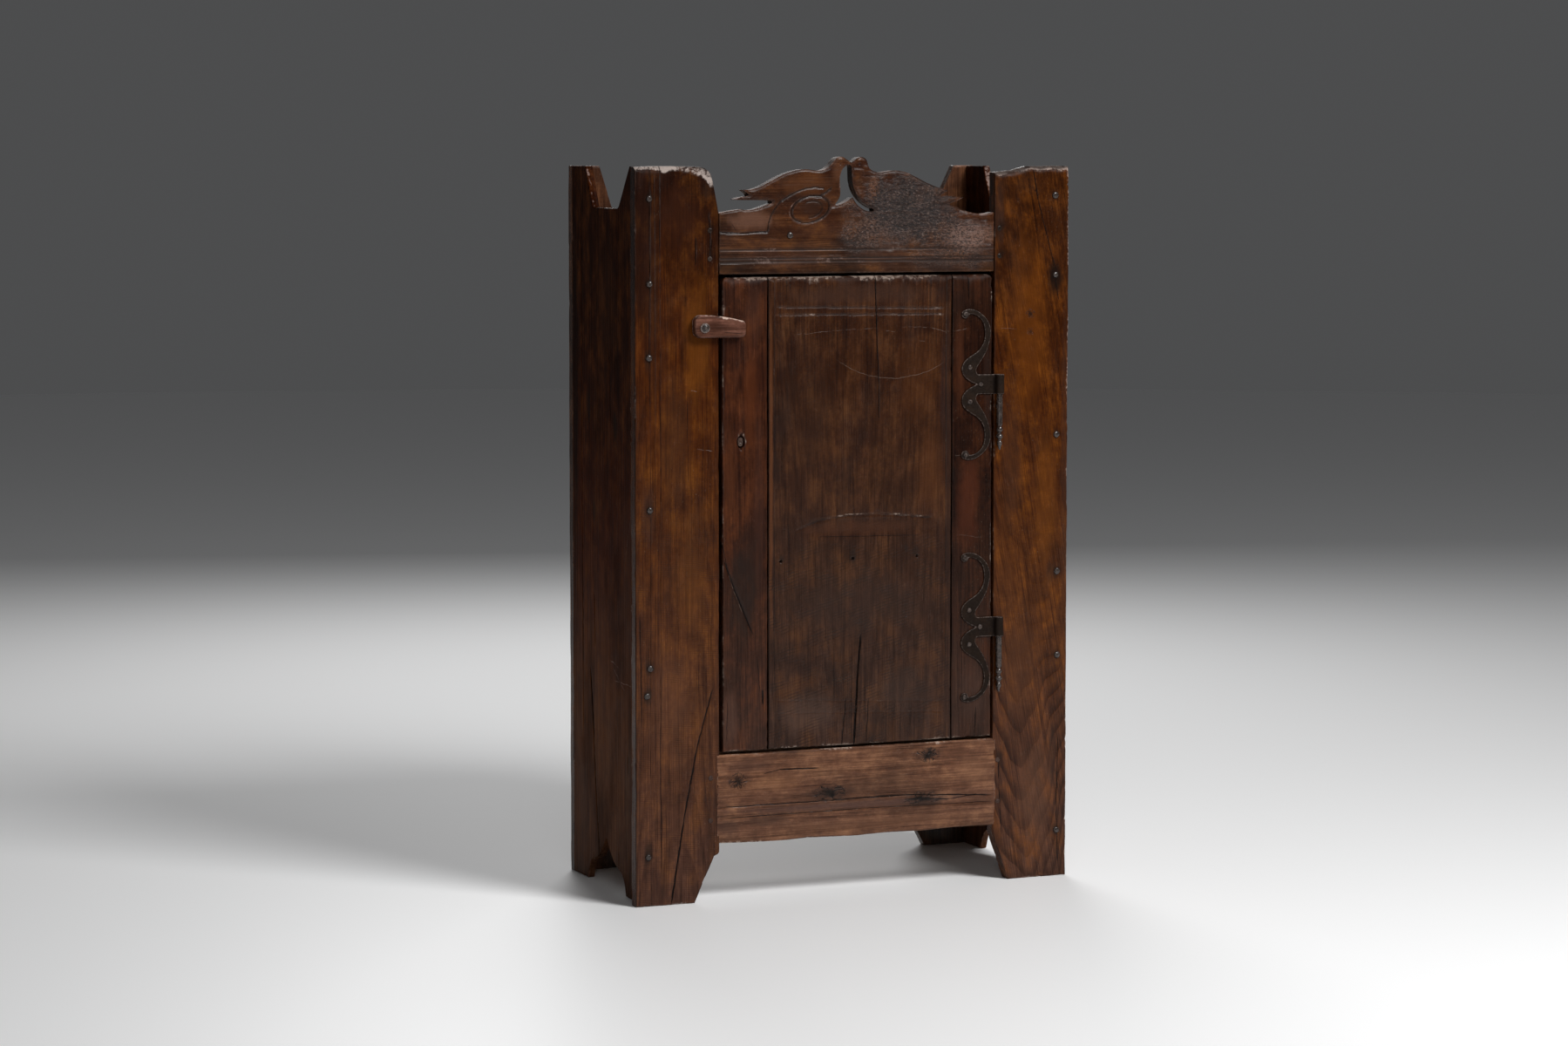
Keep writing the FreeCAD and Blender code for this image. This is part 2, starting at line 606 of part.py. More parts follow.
crest = new_body("crest_rail", opening_middle, front, crest_bottom)
left_length = opening_width / 2 + s.beak_offset - s.left_tail_gap
right_length = opening_width / 2 - s.beak_offset - s.right_tail_gap
left_drawn = -LEFT_TAIL[1][0][0]
right_drawn = RIGHT_TAIL[2][0][0]
head_drawn = max(up for _, up in LEFT_BACK[0])


def carved(stretches):
    """Drawn stretches, stretched to the room on the crest rail."""
    placed = []
    for stretch in stretches:
        points = []
        for across, up in stretch:
            share = left_length.number / left_drawn if across < 0 else right_length.number / right_drawn
            points.append((s.beak_offset.number + across * share,
                           s.crest_tall.number + up * s.dove_rise.number / head_drawn))
        placed.append(points)
    return placed


half = opening_width.number / 2
top_line = carved(LEFT_SHOULDER + LEFT_TAIL + LEFT_BACK + RIGHT_BACK + RIGHT_TAIL + RIGHT_SHOULDER)
crest_outline = [[(half, 0)], [(-half, 0)], [(-half, s.crest_tall.number)]] + top_line
crest_outline.append([(half, s.crest_tall.number)])
pad(crest, freeform(new_sketch(crest, "XZ"), crest_outline), "XZ", s.front_stile_thick)
cut(crest, freeform(new_sketch(crest, "XZ"), carved(BREAST_GAP)), "XZ", s.front_stile_thick)
finish_rail(crest, s.tenon_shoulder, s.crest_tall - s.tenon_shoulder, [s.crest_peg_low, s.crest_peg_high])
for height in (s.crest_scratch_low, s.crest_scratch_mid, s.crest_scratch_high):
    line = rectangle(new_sketch(crest, "XZ"), -(opening_width / 2), height - s.scratch_wide / 2,
                     opening_width / 2, height + s.scratch_wide / 2)
    cut(crest, line, "XZ", s.scratch_deep)
crest_nail_height = top_board_under + s.top_board_thick / 2
holes(crest, "XZ", 0, [(s.crest_nail_offset, crest_nail_height - crest_bottom)],
      s.stile_nail_radius, s.front_stile_thick)

# Pegs of the four tenons, and the nails of the front
pegs = [(x, front, height) for x in (opening_middle - left_peg, opening_middle + right_peg)
        for height in crest_pegs]
group("crest_rail_pegs", peg_pattern, pegs)
pegs = [(x, front, height) for x in (opening_middle - left_peg, opening_middle + right_peg)
        for height in bottom_pegs]
group("bottom_rail_pegs", peg_pattern, pegs)
group("left_stile_nails", stile_nail, [(left + inset, front, height) for inset, height in left_nails])
group("right_stile_nails", stile_nail, [(right - inset, front, height) for inset, height in right_nails])
group("crest_rail_nail", stile_nail, [(opening_middle + s.crest_nail_offset, front, crest_nail_height)])

# Side boards: one wide board each, notched between two horns at the top, arched between two feet at
# the floor, and grooved inside for the top and bottom boards.
back_nails = [s.foot_height * 1.5, (bottom_board_top + lower_shelf_under) / 2 - s.foot_height / 2,
              lower_shelf_under + s.foot_height / 2, upper_shelf_under + s.shelf_thick / 2,
              (upper_shelf_under + top_board_under) / 2, s.horn_height - s.back_horn_waist_drop * 1.3]
side_deep = side_rear - stile_back
arch_at = s.arch_middle - s.front_stile_thick
notch_floor = s.horn_height - s.side_notch_deep
stile_nail_left = s.stile_nail_long - s.front_stile_thick
back_nail_left = s.back_nail_long - s.back_stile_thick


def side_board(name, x, groove_start, front_nails):
    """Drawn from its front edge at the floor, x along the board's thickness."""
    body = new_body(name, x, stile_back, 0)
    shape = outline(new_sketch(body, "YZ"), [
        (0, 0),
        (0, s.horn_height),
        (s.side_horn_front, s.horn_height),
        (s.side_horn_front + s.side_notch_slope_front, notch_floor),
        (side_deep - s.side_horn_rear - s.side_notch_slope_rear, notch_floor),
        (side_deep - s.side_horn_rear, s.horn_height),
        (side_deep, s.horn_height),
        (side_deep, 0),
        (arch_at + s.arch_half, 0, -s.arch_round),
        (arch_at + s.arch_shoulder, s.arch_shoulder_height, s.arch_sweep),
        (arch_at, s.arch_height, s.arch_sweep),
        (arch_at - s.arch_shoulder, s.arch_shoulder_height, -s.arch_round),
        (arch_at - s.arch_half, 0)])
    pad(body, shape, "YZ", s.side_thick)
    for low, high in ((bottom_board_under, bottom_board_top), (top_board_under, top_board_top)):
        groove = rectangle(new_sketch(body, "YZ", groove_start), 0, low, side_deep, high)
        cut(body, groove, "YZ", s.housing_deep)
    holes(body, "XZ", 0, front_nails, s.stile_nail_radius, stile_nail_left + s.nail_ease)
    holes(body, "XZ", side_deep - back_nail_left - s.nail_ease,
          [(s.side_thick / 2, height) for height in back_nails],
          s.back_nail_radius, back_nail_left + s.nail_ease)
    return body


left_side = side_board("left_side_board", left + s.side_inset, s.side_thick - s.housing_deep,
                       [(inset - s.side_inset, height) for inset, height in left_nails])
right_side = side_board("right_side_board", side_right_inner, 0,
                        [(s.side_inset + s.side_thick - inset, height) for inset, height in right_nails])


# Back stiles: horned and footed like the front ones, nailed on the side boards' rear edges
def back_stile(name, x, way, horn):
    body = new_body(name, x, side_rear, 0)
    shape = outline(new_sketch(body, "XZ"), [
        (0, 0),
        (way * (s.back_stile_width - s.back_foot_cut), 0),
        (way * s.back_stile_width, s.foot_height),
        (way * s.back_stile_width, top_board_top, way * s.back_horn_round),
        (way * s.back_horn_waist, s.horn_height - s.back_horn_waist_drop),
        (way * horn, s.horn_height),
        (0, s.horn_height)])
    pad(body, shape, "XZ", s.back_stile_thick)
    holes(body, "XZ", 0, [(way * s.side_thick / 2, height) for height in back_nails],
          s.back_nail_radius, s.back_stile_thick)
    return body


back_left_x = left + s.side_inset
back_right_x = right - s.side_inset
back_stile("back_left_stile", back_left_x, 1, s.left_back_horn)
back_stile("back_right_stile", back_right_x, -1, s.right_back_horn)
back_face = side_rear + s.back_stile_thick
group("back_stile_nails", back_nail,
      [(x, back_face, height) for x in (back_left_x + s.side_thick / 2, back_right_x - s.side_thick / 2)
       for height in back_nails], 180)

# Top and bottom boards, housed in the side boards
housed_x = side_left_inner - s.housing_deep
housed_wide = side_right_inner - side_left_inner + 2 * s.housing_deep
top_board = board("top_board", housed_x, stile_back, top_board_under,
                  housed_wide, side_deep, s.top_board_thick)
bottom_board = board("bottom_board", housed_x, stile_back, bottom_board_under,
                     housed_wide, side_deep, s.bottom_board_thick)
holes(top_board, "XZ", 0, [(opening_middle + s.crest_nail_offset - housed_x, s.top_board_thick / 2)],
      s.stile_nail_radius, stile_nail_left + s.nail_ease)

# Shelves on cleats that are nailed inside the side boards
shelf_wide = side_right_inner - side_left_inner
shelf_deep = side_rear - shelf_front
cleat_deep = shelf_deep - 2 * s.cleat_margin
cleat_nail_along = [s.cleat_margin, cleat_deep - s.cleat_margin]
cleat_nail_left = s.batten_nail_long - s.cleat_thick
cleat_nails_left = []
cleat_nails_right = []
shelf_boards = []
for level, height in (("lower", lower_shelf_under), ("upper", upper_shelf_under)):
    shelf_boards.append((board(f"{level}_shelf", side_left_inner, shelf_front, height,
                               shelf_wide, shelf_deep, s.shelf_thick), height))
    cleat_y = shelf_front + s.cleat_margin
    cleat_z = height - s.cleat_tall
    for side, x in (("left", side_left_inner), ("right", side_right_inner - s.cleat_thick)):
        cleat = board(f"{level}_{side}_cleat", x, cleat_y, cleat_z, s.cleat_thick, cleat_deep, s.cleat_tall)
        holes(cleat, "YZ", 0, [(along, s.cleat_tall / 2) for along in cleat_nail_along],
              s.batten_nail_radius, s.cleat_thick)
    for along in cleat_nail_along:
        cleat_nails_left.append((side_left_inner + s.cleat_thick, cleat_y + along,
                                 cleat_z + s.cleat_tall / 2))
        cleat_nails_right.append((side_right_inner - s.cleat_thick, cleat_y + along,
                                  cleat_z + s.cleat_tall / 2))
cleat_nail_places = [(y - stile_back, z) for _, y, z in cleat_nails_left]
holes(left_side, "YZ", s.side_thick - cleat_nail_left - s.nail_ease, cleat_nail_places,
      s.batten_nail_radius, cleat_nail_left + s.nail_ease)
holes(right_side, "YZ", 0, cleat_nail_places, s.batten_nail_radius, cleat_nail_left + s.nail_ease)
group("left_cleat_nails", batten_nail, cleat_nails_left, 90)
group("right_cleat_nails", batten_nail, cleat_nails_right, -90)

# Back boards between the back stiles, nailed to the rear edges of the boards and shelves
BACK_BOARD_NAMES = ["back_board_left", "back_board_middle", "back_board_right"]
back_inner = back_left_x + s.back_stile_width
back_room = back_right_x - s.back_stile_width - back_inner
back_board_wide = (back_room - s.board_gap * (len(BACK_BOARD_NAMES) + 1)) / len(BACK_BOARD_NAMES)
back_nail_edge = back_board_wide / 4
back_levels = [bottom_board_under + s.bottom_board_thick / 2, lower_shelf_under + s.shelf_thick / 2,
               upper_shelf_under + s.shelf_thick / 2, top_board_under + s.top_board_thick / 2]
back_board_nail_x = []
for number, name in enumerate(BACK_BOARD_NAMES):
    board_x = back_inner + s.board_gap + (back_board_wide + s.board_gap) * number
    panel = board(name, board_x, side_rear, bottom_board_under,
                  back_board_wide, s.back_board_thick, top_board_top - bottom_board_under)
    across = [back_nail_edge, back_board_wide - back_nail_edge]
    holes(panel, "XZ", 0, [(x, level - bottom_board_under) for x in across for level in back_levels],
          s.back_nail_radius, s.back_board_thick)
    back_board_nail_x += [board_x + x for x in across]
board_nail_left = s.back_nail_long - s.back_board_thick
carriers = [(bottom_board, bottom_board_under, s.bottom_board_thick, side_deep, housed_x)]
carriers += [(shelf, height, s.shelf_thick, shelf_deep, side_left_inner) for shelf, height in shelf_boards]
carriers += [(top_board, top_board_under, s.top_board_thick, side_deep, housed_x)]
for body, under, thick, deep, x in carriers:
    holes(body, "XZ", deep - board_nail_left - s.nail_ease,
          [(nail_x - x, thick / 2) for nail_x in back_board_nail_x],
          s.back_nail_radius, board_nail_left + s.nail_ease)
group("back_board_nails", back_nail,
      [(x, side_rear + s.back_board_thick, level) for x in back_board_nail_x for level in back_levels], 180)

# Door: lock board, centre board and hinge board, edge to edge, drawn from each board's lower left corner
centre_left = door_left + s.lock_board_width + s.board_gap
centre_right = door_right - s.hinge_board_width - s.board_gap
centre_wide = centre_right - centre_left
batten_left = door_left + s.batten_inset
batten_wide = door_right - door_left - 2 * s.batten_inset
batten_nail_left = s.batten_nail_long - s.batten_thick
batten_nail_drop = s.batten_tall / 4
batten_heights = [upper_hinge, lower_hinge]
batten_nail_x = [door_left + s.lock_board_width / 3 + s.batten_inset / 2,
                 door_left + s.lock_board_width * 0.8,
                 centre_left + centre_wide * 0.2,
                 centre_left + centre_wide * 0.8,
                 centre_right + s.hinge_board_width * 0.55]
batten_nail_places = [(x, middle + rise) for middle in batten_heights for x in batten_nail_x
                      for rise in (-batten_nail_drop, batten_nail_drop)]
door_edges = {"lock_board": (door_left, door_left + s.lock_board_width),
              "centre_board": (centre_left, centre_right),
              "hinge_board": (centre_right + s.board_gap, door_right)}

# Hinge straps: two S-shaped arms that end in round eyes, drawn across from the pin and up from the
# strap's middle, for the upper arm, and stretched to the strap's own reach and rise
ARM = [[(-30, 13), (-37, 16), (-40.6, 24), (-37, 32), (-26, 48), (-17, 69), (-13.8, 88), (-19, 106),
        (-34, 121), (-50, 126.8), (-60, 125.4)],
       [(-58, 118), (-42, 116.5), (-30, 107), (-24.8, 90), (-27, 71), (-38, 56), (-53, 46.5),
        (-64, 36.5), (-67, 26), (-62, 13.5), (-52.6, 6)], [(-39.2, 0)], [(-30, 0)]]
EYE = (-60.4, 118.4)
ARM_NAIL = (-52.5, 29)
TAB_NAIL = (-32.6, 0)
arm_drawn_reach = -min(across for stretch in ARM for across, _ in stretch)
arm_drawn_rise = max(up for stretch in ARM for _, up in stretch)


def on_strap(point, way=1):
    """Point of the drawn arm, on the strap: way is -1 for the lower arm."""
    return (s.strap_reach * (point[0] / arm_drawn_reach), s.strap_rise * (way * point[1] / arm_drawn_rise))


strap_nail_places = [on_strap(EYE), on_strap(ARM_NAIL), on_strap(TAB_NAIL), on_strap(ARM_NAIL, -1),
                     on_strap(EYE, -1)]
strap_nail_left = s.strap_nail_long - s.strap_thick


def door_board(name, corner_left, corner_right):
    """A board with rounded upper corners where the door's own corners are."""
    x, end = door_edges[name]
    body = new_body(name, x, door_front, door_bottom)
    wide = end - x
    corners = [(0, 0), (wide, 0)]
    if corner_right:
        corners += [(wide, door_tall - s.door_corner, -s.door_corner), (wide - s.door_corner, door_tall)]
    else:
        corners += [(wide, door_tall)]
    if corner_left:
        corners += [(s.door_corner, door_tall, -s.door_corner), (0, door_tall - s.door_corner)]
    else:
        corners += [(0, door_tall)]
    pad(body, outline(new_sketch(body, "XZ"), corners), "XZ", s.door_thick)
    own = [(nail_x - x, nail_z - door_bottom) for nail_x, nail_z in batten_nail_places
           if x.number < nail_x.number < end.number]
    holes(body, "XZ", s.door_thick - batten_nail_left - s.nail_ease, own,
          s.batten_nail_radius, batten_nail_left + s.nail_ease)
    own = [(hinge_x + across - x, height + up - door_bottom) for height in batten_heights
           for across, up in strap_nail_places
           if x.number < (hinge_x + across).number < end.number]
    if own:
        holes(body, "XZ", 0, own, s.strap_nail_radius, strap_nail_left + s.nail_ease)
    return body, wide


lock_board, lock_wide = door_board("lock_board", True, False)
centre_board, centre_wide = door_board("centre_board", False, False)
hinge_board, hinge_wide = door_board("hinge_board", False, True)


def oval(sketch, middle_across, middle_up, wide, tall):
    """Upright oval: two straight sides and round ends."""
    radius = wide / 2
    rise = tall / 2 - radius
    return outline(sketch, [
        (middle_across + radius, middle_up - rise),
        (middle_across + radius, middle_up + rise, -radius * 1.001),
        (middle_across - radius, middle_up + rise),
        (middle_across - radius, middle_up - rise, -radius * 1.001)])


pull_x = s.pull_hole_inset
pull_z = door_tall - s.pull_hole_drop
cut(lock_board, oval(new_sketch(lock_board, "XZ"), pull_x, pull_z, s.pull_hole_wide, s.pull_hole_tall),
    "XZ", s.pull_hole_deep)
stub = new_body("pull_peg_stub", door_left + pull_x, door_front, door_bottom + pull_z)
pad(stub, oval(new_sketch(stub, "XZ", s.stub_sunk), 0, 0, s.pull_hole_wide - 2 * s.stub_ease,
               s.pull_hole_tall - 2 * s.stub_ease), "XZ", s.pull_hole_deep - s.stub_sunk)

low_lines = [s.scratch_from_bottom, s.scratch_from_bottom + s.scratch_pair]
high_lines = [door_tall - s.scratch_from_top, door_tall - s.scratch_from_top - s.scratch_pair]
upright_lines = [s.scratch_inset, centre_wide - s.scratch_inset]
for across in upright_lines:
    line = rectangle(new_sketch(centre_board, "XZ"), across - s.scratch_wide / 2, 0,
                     across + s.scratch_wide / 2, door_tall)
    cut(centre_board, line, "XZ", s.scratch_deep)
for up in low_lines + high_lines:
    line = rectangle(new_sketch(centre_board, "XZ"), upright_lines[0], up - s.scratch_wide / 2,
                     upright_lines[1], up + s.scratch_wide / 2)
    cut(centre_board, line, "XZ", s.scratch_deep)
old_nail_across = [centre_wide * share for share in (0.07, 0.46, 0.81)]
cut(centre_board, circles(new_sketch(centre_board, "XZ"),
                          [(across, s.old_nail_height) for across in old_nail_across],
                          s.old_nail_radius), "XZ", s.old_nail_deep)

# Battens across the door's back, behind the hinges, and their nails
for level, middle in zip(("upper", "lower"), batten_heights):
    low = middle - s.batten_tall / 2
    batten = board(f"{level}_batten", batten_left, door_back, low,
                   batten_wide, s.batten_thick, s.batten_tall)
    places = [(x, z) for x, z in batten_nail_places if abs(z.number - middle.number) < s.batten_tall.number]
    holes(batten, "XZ", 0, [(x - batten_left, z - low) for x, z in places],
          s.batten_nail_radius, s.batten_thick)
    group(f"{level}_batten_nails", batten_nail,
          [(x, door_back + s.batten_thick, z) for x, z in places], 180)


# Hinge straps with their knuckles, drawn from the pin's axis at the strap's middle
def strap(name, height):
    body = new_body(name, hinge_x, hinge_y, height)
    face = s.knuckle_radius - s.strap_thick
    half_tab = s.strap_tab_tall / 2
    tab = rectangle(new_sketch(body, "XZ", face), on_strap((-39.2, 0))[0], -half_tab, 0, half_tab)
    pad(body, tab, "XZ", s.strap_thick)
    for way in (1, -1):
        shape = [[tuple(size.number for size in on_strap(point, way)) for point in stretch]
                 for stretch in ARM]
        pad(body, freeform(new_sketch(body, "XZ", face), shape), "XZ", s.strap_thick)
    eyes = circles(new_sketch(body, "XZ", face), [on_strap(EYE), on_strap(EYE, -1)], s.eye_radius)
    pad(body, eyes, "XZ", s.strap_thick)
    knuckle = circles(new_sketch(body, "XY", -half_tab), [(0, 0)], s.knuckle_radius)
    pad(body, knuckle, "XY", s.strap_tab_tall)
    bore = circles(new_sketch(body, "XY", -half_tab), [(0, 0)], s.pin_radius + s.pin_ease)
    cut(body, bore, "XY", s.strap_tab_tall)
    holes(body, "XZ", face, strap_nail_places, s.strap_nail_radius, s.strap_thick)
    return body


# Hinge pins: pin in the knuckle, rod below it, turned finial, and a spike driven into the stile
def pintle(name, height):
    body = new_body(name, hinge_x, hinge_y, height - s.strap_tab_tall / 2)
    shoulder = -s.pin_step
    rod_end = shoulder - s.barrel_long
    ball = rod_end - s.finial_gap
    ball_end = ball - s.finial_ball_tall
    ring = ball_end - s.finial_gap
    ring_end = ring - s.finial_ring_tall
    bead = ring_end - s.finial_gap
    bead_end = bead - s.finial_bead_tall
    tip = bead_end - s.finial_tip
    profile = outline(new_sketch(body, "XZ"), [
        (0, s.strap_tab_tall - 1),
        (s.pin_radius, s.strap_tab_tall - 1),
        (s.pin_radius, shoulder),
        (s.barrel_radius, shoulder),
        (s.barrel_radius, rod_end),
        (s.finial_neck, ball, s.finial_ball_round),
        (s.finial_neck, ball_end),
        (s.finial_neck, ring, s.finial_ring_round),
        (s.finial_neck, ring_end),
        (s.finial_neck * 0.9, bead, s.finial_bead_round),
        (s.finial_neck * 0.9, bead_end),
        (s.finial_neck * 0.5, tip),
        (0, tip)])
    turned = body.newObject("PartDesign::Revolution", f"{name}_turned")
    turned.Profile = (profile, [""])
    turned.ReferenceAxis = (profile, ["V_Axis"])
    middle = shoulder - s.spike_drop
    spike = rectangle(new_sketch(body, "XZ"), -(s.spike_wide / 2), middle - s.spike_wide / 2,
                      s.spike_wide / 2, middle + s.spike_wide / 2)
    pad(body, spike, "XZ", s.knuckle_radius + s.door_proud + s.spike_deep)
    return body


for level, height in (("upper", upper_hinge), ("lower", lower_hinge)):
    strap(f"{level}_hinge_strap", height)
    pintle(f"{level}_hinge_pin", height)
    group(f"{level}_hinge_nails", strap_nail,
          [(hinge_x + across, door_front - s.strap_thick, height + up) for across, up in strap_nail_places])

# Turn button on the left stile, over the door's edge, and the nail it turns on
button = new_body("turn_button", button_x, front, button_z)
button_back = s.button_thick + button_gap
button_shape = outline(new_sketch(button, "XZ", -button_back), [
    (s.button_corner - s.button_tail, -s.button_half_down),
    (s.button_reach - s.button_tip_round, -s.button_half_down, -s.button_tip_round),
    (s.button_reach, s.button_tip_round - s.button_half_down),
    (s.button_reach, s.button_tip_up - s.button_tip_round, -s.button_tip_round),
    (s.button_reach - s.button_tip_round, s.button_tip_up, -s.button_crown),
    (s.button_corner - s.button_tail, s.button_half_up, -s.button_corner),
    (-s.button_tail, s.button_half_up - s.button_corner),
    (-s.button_tail, s.button_corner - s.button_half_down, -s.button_corner)])
button_solid = pad(button, button_shape, "XZ", s.button_thick)
round_edges(button, button_solid, s.button_edge, lambda point: abs(point.y + button_back.number) < 0.01)
cut(button, circles(new_sketch(button, "XZ", -button_back), [(0, 0)],
                    s.button_nail_radius + s.button_nail_ease), "XZ", s.button_thick)

button_nail = new_body("turn_button_nail", button_x, front, button_z)
head_under = button_back + s.head_gap
nail_profile = outline(new_sketch(button_nail, "XY"), [
    (0, -(head_under + s.button_head_rise)),
    (s.button_head_radius * 0.4, -(head_under + s.button_head_rise)),
    (s.button_head_radius, -(head_under + s.button_head_rise * 0.25)),
    (s.button_head_radius, -head_under),
    (s.button_nail_radius, -head_under),
    (s.button_nail_radius, s.button_nail_deep * 0.7),
    (s.button_nail_radius * 0.4, s.button_nail_deep),
    (0, s.button_nail_deep)])
nail_turned = button_nail.newObject("PartDesign::Revolution", "turn_button_nail_turned")
nail_turned.Profile = (nail_profile, [""])
nail_turned.ReferenceAxis = (nail_profile, ["V_Axis"])

document.recompute()

# Every object has to be sound before anything is written
faults = []
for thing in document.Objects:
    if "Invalid" in thing.State or "Error" in thing.State:
        faults.append(f"{thing.Name} is {thing.State}")
for pocket in pockets:
    base = pocket.BaseFeature
    if base is None or base.Shape.isNull() or pocket.Shape.isNull():
        faults.append(f"{pocket.Name} has no shape")
    elif base.Shape.Volume - pocket.Shape.Volume < 0.5:
        faults.append(f"{pocket.Name} cuts nothing")
for part in subparts:
    if part.Shape.isNull() or not part.Shape.isValid() or not part.Shape.Solids:
        faults.append(f"{part.Label} has no sound shape")
if faults:
    raise RuntimeError("; ".join(faults))

os.makedirs("parts", exist_ok=True)
for part in subparts:
    part.Shape.exportStep(os.path.join("parts", f"{part.Label}.step"))
print(len(subparts), "parts written")
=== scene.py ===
import math

import bmesh
import bpy
import numpy as np
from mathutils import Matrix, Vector
from mathutils.kdtree import KDTree


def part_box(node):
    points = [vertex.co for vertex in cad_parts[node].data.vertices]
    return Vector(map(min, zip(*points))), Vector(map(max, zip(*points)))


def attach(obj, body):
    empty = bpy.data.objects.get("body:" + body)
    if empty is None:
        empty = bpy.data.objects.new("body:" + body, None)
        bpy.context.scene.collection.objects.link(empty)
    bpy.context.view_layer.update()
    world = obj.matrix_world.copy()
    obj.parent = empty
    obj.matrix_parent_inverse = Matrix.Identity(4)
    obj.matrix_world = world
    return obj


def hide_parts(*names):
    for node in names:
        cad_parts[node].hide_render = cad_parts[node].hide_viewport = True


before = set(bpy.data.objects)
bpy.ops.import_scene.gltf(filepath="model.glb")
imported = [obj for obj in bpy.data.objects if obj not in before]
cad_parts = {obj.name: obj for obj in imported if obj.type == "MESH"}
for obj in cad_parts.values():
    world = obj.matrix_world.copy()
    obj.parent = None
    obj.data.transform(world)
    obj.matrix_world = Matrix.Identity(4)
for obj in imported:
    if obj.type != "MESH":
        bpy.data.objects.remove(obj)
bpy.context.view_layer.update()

# Left front stile: A thick riven and hewn plank of old softwood, splayed at the foot and shouldered at
# the top, scratched with three lines beside its outer edge. The rails are tenoned into it and it is
# nailed on the side board's front edge.


def spot(across, deep, up):
    """A place in the frame, from millimetres off the left outer edge, the stiles' face and the floor."""
    places = np.broadcast_arrays(across / 1000 - 0.38775, deep / 1000 - 0.17395, up / 1000)
    return np.stack(places, -1).astype(float)


def measured(points):
    """The way back from the frame to those millimetres."""
    return points[:, 0] * 1000 + 387.75, points[:, 1] * 1000 + 173.95, points[:, 2] * 1000


def drift(u, v, seed):
    """Smooth random swell between -1 and 1, one swell to each unit of u and v."""
    u, v = np.broadcast_arrays(np.asarray(u, float), np.asarray(v, float))
    wide, tall = 67, 71
    lattice = np.random.default_rng(seed).uniform(-1, 1, (wide, tall))
    i, j = np.floor(u).astype(int), np.floor(v).astype(int)
    a, b = u - i, v - j
    a, b = a * a * (3 - 2 * a), b * b * (3 - 2 * b)
    near = lattice[i % wide, j % tall] * (1 - a) + lattice[(i + 1) % wide, j % tall] * a
    far = lattice[i % wide, (j + 1) % tall] * (1 - a) + lattice[(i + 1) % wide, (j + 1) % tall] * a
    return near * (1 - b) + far * b


def stations(*stops, extra=()):
    """Grid lines from stop to stop: start, step, stop, step, stop ... with closer ones at both ends."""
    spans = zip(stops[0::2], stops[1::2], stops[2::2])
    lines = [np.linspace(a, b, max(2, round(abs(b - a) / step) + 1)) for a, step, b in spans]
    ends = np.array([0.4, 1.0, 1.8, 2.8, 4.2])
    lines += [stops[0] + ends, stops[-1] - ends, np.asarray(extra, float)]
    lines = np.unique(np.round(np.concatenate(lines), 3))
    return lines[(lines >= stops[0]) & (lines <= stops[-1])]


def uneven(W, S, seed, broad, fine, swell=0.25, ripple=0.08):
    """How far a face planed by hand dips: broad and fine waves, each with its length across and along."""
    waves = swell * (1 + drift(W / broad[0], S / broad[1], seed))
    return waves + ripple * (1 + drift(W / fine[0], S / fine[1], seed + 1))


def score(W, S, path, width, depth):
    """A crack or scratched line along a path of (across, along) points: how deep it cuts at each point."""
    path = np.array(path, float)
    run = np.ptp(path, axis=0)
    a, b, at, off = (1, 0, S, W) if run[1] >= run[0] else (0, 1, W, S)
    path = path[np.argsort(path[:, a])]
    middle = np.interp(at, path[:, a], path[:, b]) + 0.5 * drift(at / 9, path[0, b], 5)
    ends = np.clip(np.minimum(at - path[0, a], path[-1, a] - at) / 14 + 0.15, 0, 1)
    return depth * ends * np.clip(1 - (np.abs(off - middle) / (width / 2)) ** 2, 0, 1)


def cracked(cut, W, S, cracks, wider=1, level=False):
    """Adds cracks (path, width, depth) to the cut of a face. On a board whose columns run up, their points
    are (across, up) and have to be turned round."""
    for path, width, depth in cracks:
        if level:
            path = [(up, along) for along, up in path]
        cut = cut + score(W, S, path, width + wider, depth)
    return cut


def stretched(values, first, last, start, end, keep):
    """Moves the outermost grid lines to start and end, and leaves those between the two kept values."""
    low, high = keep
    left = start + (values - first) * (low - start) / (low - first)
    right = high + (values - high) * (end - high) / (last - high)
    return np.where(values < low, left, np.where(values > high, right, values))


def stand(name, data):
    thing = bpy.data.objects.new(name, data)
    bpy.context.scene.collection.objects.link(thing)
    return thing


